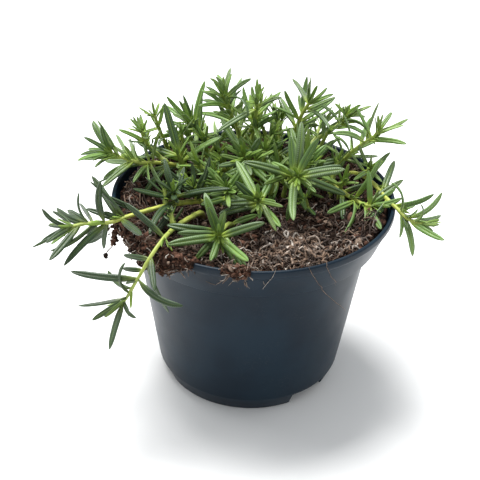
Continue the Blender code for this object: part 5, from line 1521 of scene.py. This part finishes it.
def low_twigs():
    """Short shoots rising from the soil at random places, taller towards the back."""
    roots, made = [], []
    for _ in range(TWIG_TRIES):
        x, y = twig_luck.uniform(TWIG_LEFT, TWIG_RIGHT), twig_luck.uniform(TWIG_FRONT, TWIG_BACK)
        near = any(math.hypot(x - other_x, y - other_y) < TWIG_APART for other_x, other_y in roots)
        bare_corner = (x < BARE_LEFT[0] and y < BARE_LEFT[1]) or (x > BARE_RIGHT[0] and y < BARE_RIGHT[1])
        if near or bare_corner or math.hypot(x, y) > TWIG_REACH or len(made) == TWIG_COUNT:
            continue
        roots.append((x, y))
        turn = Quaternion((0, 0, 1), twig_luck.uniform(0, math.tau))
        lean = turn @ Vector((twig_luck.uniform(*TWIG_LEAN), 0, 0))
        top = TWIG_TOP + TWIG_RISE * y + twig_luck.uniform(-TWIG_STRAY, TWIG_STRAY)
        route = rooted(x, y, (x + lean.x * 0.35, y + lean.y * 0.35, (88 + top) / 2),
                       (x + lean.x, y + lean.y, top))
        made.append(Shoot(f"low {len(made)}", "low", route, bare=14, pairs=twig_luck.choice(TWIG_PAIRS),
                          leaf=twig_luck.uniform(*TWIG_LEAF), roll=twig_luck.uniform(0, 90),
                          spread=(72, 24), tip=0.6, curl=twig_luck.uniform(-5, 25), seed=len(made)))
    return made


def lower_leaves(shoot, taken):
    """Short leaves on the lower part of a shoot that stay clear of every other leaf."""
    kept = []
    for number, run in enumerate(np.arange(shoot.bare - 3, 6, -4.5)):
        seat, direction, up = place_on(shoot, run)
        if seat.z < LOWEST_SEAT:
            continue
        for side in (0, 180):
            roll = shoot.roll + 90 * number + side + twig_luck.gauss(0, 15)
            leaf = set_leaf(seat, direction, up, roll, 55 + twig_luck.gauss(0, 8),
                            shoot.leaf * twig_luck.uniform(0.5, 0.85), 12)
            if stays_clear(leaf, [taken], LEAF_GAP):
                kept.append(leaf)
    return kept


twigs = low_twigs()
print("low twigs:", len(twigs))

# %% [markdown]
# ## Leaf and stem finishes
# The top of a leaf is a waxy dark green that mirrors a pale sky, with a lighter midrib and yellow-green at
# its foot; the underside is grey-green felt. Waxy leaves have an IOR near 1.45 and a roughness of about
# 0.4. The finish reads each point's notes: where it is across and along the leaf, on which side, and the
# leaf's own tone. Rows of tiny blisters beside the midrib are half a millimetre apart, drawn at 0.9 mm.

# %% The leaves' finish
BLISTER_SPACING = 0.9


def rosemary_leaf():
    """Waxy rosemary leaf: blistered dark green above, felted grey-green below, paler when young."""
    finish, shader, node = new_finish("waxy_rosemary_leaf", ior=1.45, roughness=0.42)
    look = node("Attribute", take="Vector", attribute_name="look")
    across, share, below = [node("SeparateXYZ", {0: look}, take=axis) for axis in "XYZ"]
    size = node("Attribute", take="Alpha", attribute_name="look")
    kind = node("Attribute", take="Vector", attribute_name="kind")
    tone, youth, bloom = [node("SeparateXYZ", {0: kind}, take=axis) for axis in "XYZ"]
    place = node("TexCoord", take="Object")
    mottle = node("TexNoise", {"Vector": place, "Scale": per(2.4), "Detail": 4.0})
    grain = node("TexNoise", {"Vector": place, "Scale": per(0.7), "Detail": 2.0})
    # Distance from the midrib: 0 on it, 1 at the margin
    off_middle = node("Math", {0: across, 1: 0.5}, **MINUS)
    off_middle = node("Math", {0: off_middle}, operation="ABSOLUTE")
    off_middle = node("Math", {0: off_middle, 1: 2.0}, **TIMES)
    # The top: each leaf its own green, mottled
    # Painted light lifts this green on the back shoots, and painted shade lowers it on the trailing ones
    own = node("MapRange", {0: tone, 1: 0.15, 2: 0.95}, **SOFTLY)
    colour = node("Mix", {0: own, 6: linear("#304b26"), 7: linear("#668a42")}, **COLOURS)
    mottled = node("MapRange", {0: mottle, 1: 0.38, 2: 0.66, 4: 0.65}, **SOFTLY)
    mottled = node("Math", {0: mottled, 1: own}, **TIMES)
    # Wax bloom greys some leaves
    waxy = node("MapRange", {0: bloom, 1: 0.30, 2: 1.0, 4: 0.50}, **SOFTLY)
    waxy = node("Math", {0: waxy, 1: mottle}, **TIMES)
    # The midrib is paler, and the rolled margins get a painted highlight
    rib = node("MapRange", {0: off_middle, 1: 0.03, 2: 0.20, 3: 0.50, 4: 0.0}, **SOFTLY)
    painted_margin_highlight = node("MapRange", {0: off_middle, 1: 0.72, 2: 1.0, 4: 0.40}, **SOFTLY)
    # Blisters in rows: length along the leaf in millimetres, turned into waves
    run = node("Math", {0: share, 1: size}, **TIMES)
    wave = node("Math", {0: run, 1: NOTED_LENGTH * math.tau / BLISTER_SPACING}, **TIMES)
    wave = node("Math", {0: wave}, operation="SINE")
    peaks = node("MapRange", {0: wave, 1: 0.1, 2: 0.9}, **SOFTLY)
    lane = node("Math", {0: off_middle, 1: 0.48}, **MINUS)
    lane = node("Math", {0: lane}, operation="ABSOLUTE")
    lane = node("MapRange", {0: lane, 1: 0.10, 2: 0.24, 3: 1.0, 4: 0.0}, **SOFTLY)
    blisters = node("Math", {0: peaks, 1: lane}, **TIMES)
    # Painted highlights: pale glints on the blisters, strongest on waxy, full-grown leaves
    glint_strength = node("MapRange", {0: bloom, 1: 0.45, 2: 0.90, 3: 0.08, 4: 0.36}, **SOFTLY)
    grown = node("MapRange", {0: size, 1: 0.45, 2: 0.75}, **SOFTLY)
    glint_strength = node("Math", {0: glint_strength, 1: grown}, **TIMES)
    painted_blister_glints = node("Math", {0: blisters, 1: glint_strength}, **TIMES)
    # Yellow-green foot and a dull dark tip
    foot = node("MapRange", {0: share, 1: 0.0, 2: 0.34, 3: 0.90, 4: 0.0}, **SOFTLY)
    tip = node("MapRange", {0: share, 1: 0.93, 2: 1.0, 4: 0.5}, **SOFTLY)
    # The coats, the lowest first
    coats = ((mottled, "#5c7e38"), (waxy, "#8b9d78"), (youth, "#8ba63f"), (rib, "#86a243"),
             (painted_margin_highlight, "#5a7644"), (painted_blister_glints, "#ced9bd"), (foot, "#9fb440"), (tip, "#3a4a28"))
    for cover, coat in coats:
        colour = node("Mix", {0: cover, 6: colour, 7: linear(coat)}, **COLOURS)
    # The felted underside
    felt_rib = node("MapRange", {0: off_middle, 1: 0.05, 2: 0.30, 3: 1.0, 4: 0.0}, **SOFTLY)
    felt = node("Mix", {0: felt_rib, 6: linear("#556a40"), 7: linear("#7f9551")}, **COLOURS)
    young_felt = node("Mix", {0: youth, 6: felt, 7: linear("#8aa745")}, **COLOURS)
    colour = node("Mix", {0: below, 6: colour, 7: young_felt}, **COLOURS)
    # Painted shade: the leaves of the trailing shoots are darkened further
    unshaded_share = node("Attribute", take="Alpha", attribute_name="kind")
    painted_shade_share = node("MapRange", {0: unshaded_share, 1: 0.25, 2: 1.0, 3: 0.64, 4: 0.0})
    colour = node("Mix", {0: painted_shade_share, 6: colour, 7: linear("#1f3319")}, **COLOURS)
    rough = node("MapRange", {0: below, 3: 0.38, 4: 0.80})
    relief = node("Math", {0: blisters, 1: grain}, **PLUS)
    bump = node("Bump", {"Strength": 0.45, "Distance": 0.12 * MM, "Height": relief})
    feed(shader, {"Base Color": colour, "Roughness": rough, "Normal": bump,
                  "Specular IOR Level": 0.5, "Sheen Weight": 0.03, "Sheen Roughness": 0.5})
    return finish


leaf_finish = rosemary_leaf()
print("leaf finish:", len(leaf_finish.node_tree.nodes), "nodes")

# %% The stems' finish
def green_stem():
    """Fleshy young stem: yellow-green in the light, greener to the tip, brown where it leaves the soil."""
    finish, shader, node = new_finish("young_rosemary_stem", ior=1.45, roughness=0.48)
    look = node("Attribute", take="Vector", attribute_name="look")
    share, around, joint = [node("SeparateXYZ", {0: look}, take=axis) for axis in "XYZ"]
    painted_stem_light = node("Attribute", take="Alpha", attribute_name="look")
    place = node("TexCoord", take="Object")
    height = node("SeparateXYZ", {0: place}, take="Z")
    mottle = node("TexNoise", {"Vector": place, "Scale": per(3.5), "Detail": 4.0})
    # Painted light: stems that stand in the light get a brighter yellow-green
    colour = node("Mix", {0: painted_stem_light, 6: linear("#93a44a"), 7: linear("#b9be55")}, **COLOURS)
    greener = node("MapRange", {0: share, 1: 0.60, 2: 1.00, 4: 0.6}, **SOFTLY)
    # Four stripes along the ribs
    stripes = node("Math", {0: around, 1: 4 * math.tau}, **TIMES)
    stripes = node("Math", {0: stripes}, operation="COSINE")
    stripes = node("MapRange", {0: stripes, 1: -1.0, 2: 1.0, 4: 0.30}, **SOFTLY)
    blotches = node("MapRange", {0: mottle, 1: 0.45, 2: 0.72, 4: 0.40}, **SOFTLY)
    joints = node("Math", {0: joint, 1: 0.60}, **TIMES)
    soiled = node("MapRange", {0: height, 1: 84 * MM, 2: 90 * MM, 3: 0.9, 4: 0.0}, **SOFTLY)
    rooted_end = node("MapRange", {0: share, 1: 0.25, 2: 0.40, 3: 1.0, 4: 0.0}, **SOFTLY)
    soiled = node("Math", {0: soiled, 1: rooted_end}, **TIMES)
    # The coats, the lowest first
    coats = ((greener, "#86a24a"), (stripes, "#c6cb80"), (blotches, "#7f8b42"), (joints, "#8a9a44"),
             (soiled, "#5f4c33"))
    for cover, coat in coats:
        colour = node("Mix", {0: cover, 6: colour, 7: linear(coat)}, **COLOURS)
    bump = node("Bump", {"Strength": 0.35, "Distance": 0.15 * MM, "Height": mottle})
    feed(shader, {"Base Color": colour, "Normal": bump})
    return finish


stem_finish = green_stem()
print("stem finish:", len(stem_finish.node_tree.nodes), "nodes")

# %% Growing the plant
# Narrower leaves: much narrower on the far shoots, slightly on the trailing ones
SLIM = {**dict.fromkeys("CDEFGQKLMXYP", 0.74), **dict.fromkeys(("A", "A2", "U", "B", "N", "S"), 0.86)}
# Painted shade darkens the trailing shoots' leaves, and painted light lightens those at the back
SHOOT_PAINTED_LIGHT = {**dict.fromkeys(("A", "A2", "U", "R", "B", "B2"), 0.25), **dict.fromkeys("DEFGQKLM", 1.4)}
# Leaves that lie too close over the soil for a solid one, in the same form as those placed one by one
OVER_SOIL = {"A": [(34.5, (-43.5, -41, 95.8), (-41, -28, 98.5))]}
# The length at which a leaf is fully green, and how much slimmer the leaves between the pairs are
GROWN_LENGTH, BETWEEN_SLIM = 20, 0.9
stem_trees = {node: tree_of([point for shoot in SHOOTS if shoot.node == node for point in stem_cloud(shoot)])
              for node in dict.fromkeys(shoot.node for shoot in SHOOTS)}
for node in stem_trees:
    heap = Heap()
    others = [tree for name, tree in stem_trees.items() if name != node]
    for shoot in SHOOTS:
        if shoot.node != node:
            continue
        add_stem(heap, shoot)
        slimness, tone = SLIM.get(shoot.name, 1.0), SHOOT_PAINTED_LIGHT.get(shoot.name, 1.0)
        for leaf in leaves[shoot.name] + leaves_as_seen(shoot, OVER_SOIL):
            youth = max(0.0, 0.75 - leaf.length / GROWN_LENGTH) + leaf_luck.uniform(0, 0.12)
            add_leaf(heap, leaf, leaf_width(leaf.length) * slimness, youth, tone=tone)
        for leaf, youth in between_leaves(shoot, others):
            width = leaf_width(leaf.length) * BETWEEN_SLIM * slimness
            add_leaf(heap, leaf, width, youth, shoot.name not in BUSHY, tone)
        add_young_leaves(heap, shoot)
    make_piece(f"shoot_{node}", heap, [leaf_finish, stem_finish], "foliage", f"stem_{node}")

# %% Growing the low twigs
taken_points = [point for shoot in SHOOTS for point in stem_cloud(shoot)]
taken_points += [point for group in leaves.values() for leaf in group for point in leaf_cloud(leaf)]
heaps = {"low_twigs_front": Heap(), "low_twigs_back": Heap()}
for shoot in SHOOTS:
    if shoot.name in LEAFY:
        for leaf in lower_leaves(shoot, tree_of(taken_points)):
            taken_points += leaf_cloud(leaf)[6:]
            add_leaf(heaps["low_twigs_back"], leaf, leaf_width(leaf.length) * LOW_SLIM, 0.3, fine=False)
for twig in twigs:
    heap = heaps["low_twigs_back" if twig.route[0][1] > TWIG_HALVES else "low_twigs_front"]
    taken = tree_of(taken_points)
    kept = [leaf for leaf in leaves_by_rule(twig) if stays_clear(leaf, [taken], LEAF_GAP)]
    if len(kept) < LEAST_KEPT:
        continue
    add_stem(heap, twig)
    youth = twig_luck.choice(TWIG_YOUTH)
    for leaf in kept:
        taken_points += leaf_cloud(leaf)[6:]
        own_youth = youth + twig_luck.uniform(0, 0.2)
        add_leaf(heap, leaf, leaf_width(leaf.length) * LOW_SLIM, own_youth, fine=False)
    leaves[twig.name] = kept
    add_young_leaves(heap, twig)
for name, heap in heaps.items():
    make_piece(name, heap, [leaf_finish, stem_finish], "foliage")

# %% [markdown]
# ## Floor and light
# The photograph was taken in white surroundings, so a pale floor and a white sky light the plant from all
# sides. One large lamp above and behind the plant gives the leaves their bright tops. A soft box at the
# left gives the pot its paler left edge, and a weaker one at the right keeps that side clear.

# %% Floor, sky and lamps
FLOOR_SIZE, SKY_STRENGTH = 6.0, 0.70
# The lamps all aim at the top of the pot
LAMP_AIM = Vector((0, 0, 0.09))


def pale_floor():
    """Smooth white studio board, with the slightest mottle."""
    finish, shader, node = new_finish("white_studio_board", ior=1.5, roughness=0.9)
    place = node("TexCoord", take="Object")
    cloud = node("TexNoise", {"Vector": place, "Scale": per(120), "Detail": 2.0})
    colour = node("Mix", {0: cloud, 6: linear("#f2f2f1"), 7: linear("#f6f6f5")}, **COLOURS)
    feed(shader, {"Base Color": colour, "Specular IOR Level": 0.1})
    return finish


floor_mesh = bpy.data.meshes.new("floor")
half = FLOOR_SIZE / 2
floor_corners = [(-half, -half, 0), (half, -half, 0), (half, half, 0), (-half, half, 0)]
floor_mesh.from_pydata(floor_corners, [], [(0, 1, 2, 3)])
floor_mesh.materials.append(pale_floor())
floor = bpy.data.objects.new("floor", floor_mesh)
bpy.context.scene.collection.objects.link(floor)
floor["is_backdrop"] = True

world = bpy.data.worlds.new("white_room")
world.use_nodes = True
sky = world.node_tree.nodes["Background"].inputs
sky["Color"].default_value = linear("#f4f7fa")
sky["Strength"].default_value = SKY_STRENGTH
bpy.context.scene.world = world
bpy.context.scene.view_settings.view_transform = "Standard"


def lamp(name, place, size, power):
    """A square soft lamp: its place and size in metres, its power in watts."""
    light = bpy.data.lights.new(name, "AREA")
    light.size = size
    light.energy = power
    made = bpy.data.objects.new(name, light)
    bpy.context.scene.collection.objects.link(made)
    made.location = place
    made.rotation_euler = (LAMP_AIM - Vector(place)).to_track_quat("-Z", "Y").to_euler()


lamp("key_above_back", (-0.22, 0.30, 1.20), 0.60, 25.0)
lamp("soft_box_left", (-0.95, 0.60, 0.38), 0.6, 4.5)
lamp("soft_box_right", (0.95, 0.50, 0.40), 0.6, 1.6)
print("lamps and floor placed")

# %% [markdown]
# ## Sizes
# The finished plant's box is written beside the CAD's, to show how little its dressing changed its size.

# %% Sizes and the end
size_boxes = {"cad": cad_box, "visual": [list(corner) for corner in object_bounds()]}
for name, (low, high) in size_boxes.items():
    print(name, "box in mm:", [round((b - a) / MM, 1) for a, b in zip(low, high)])
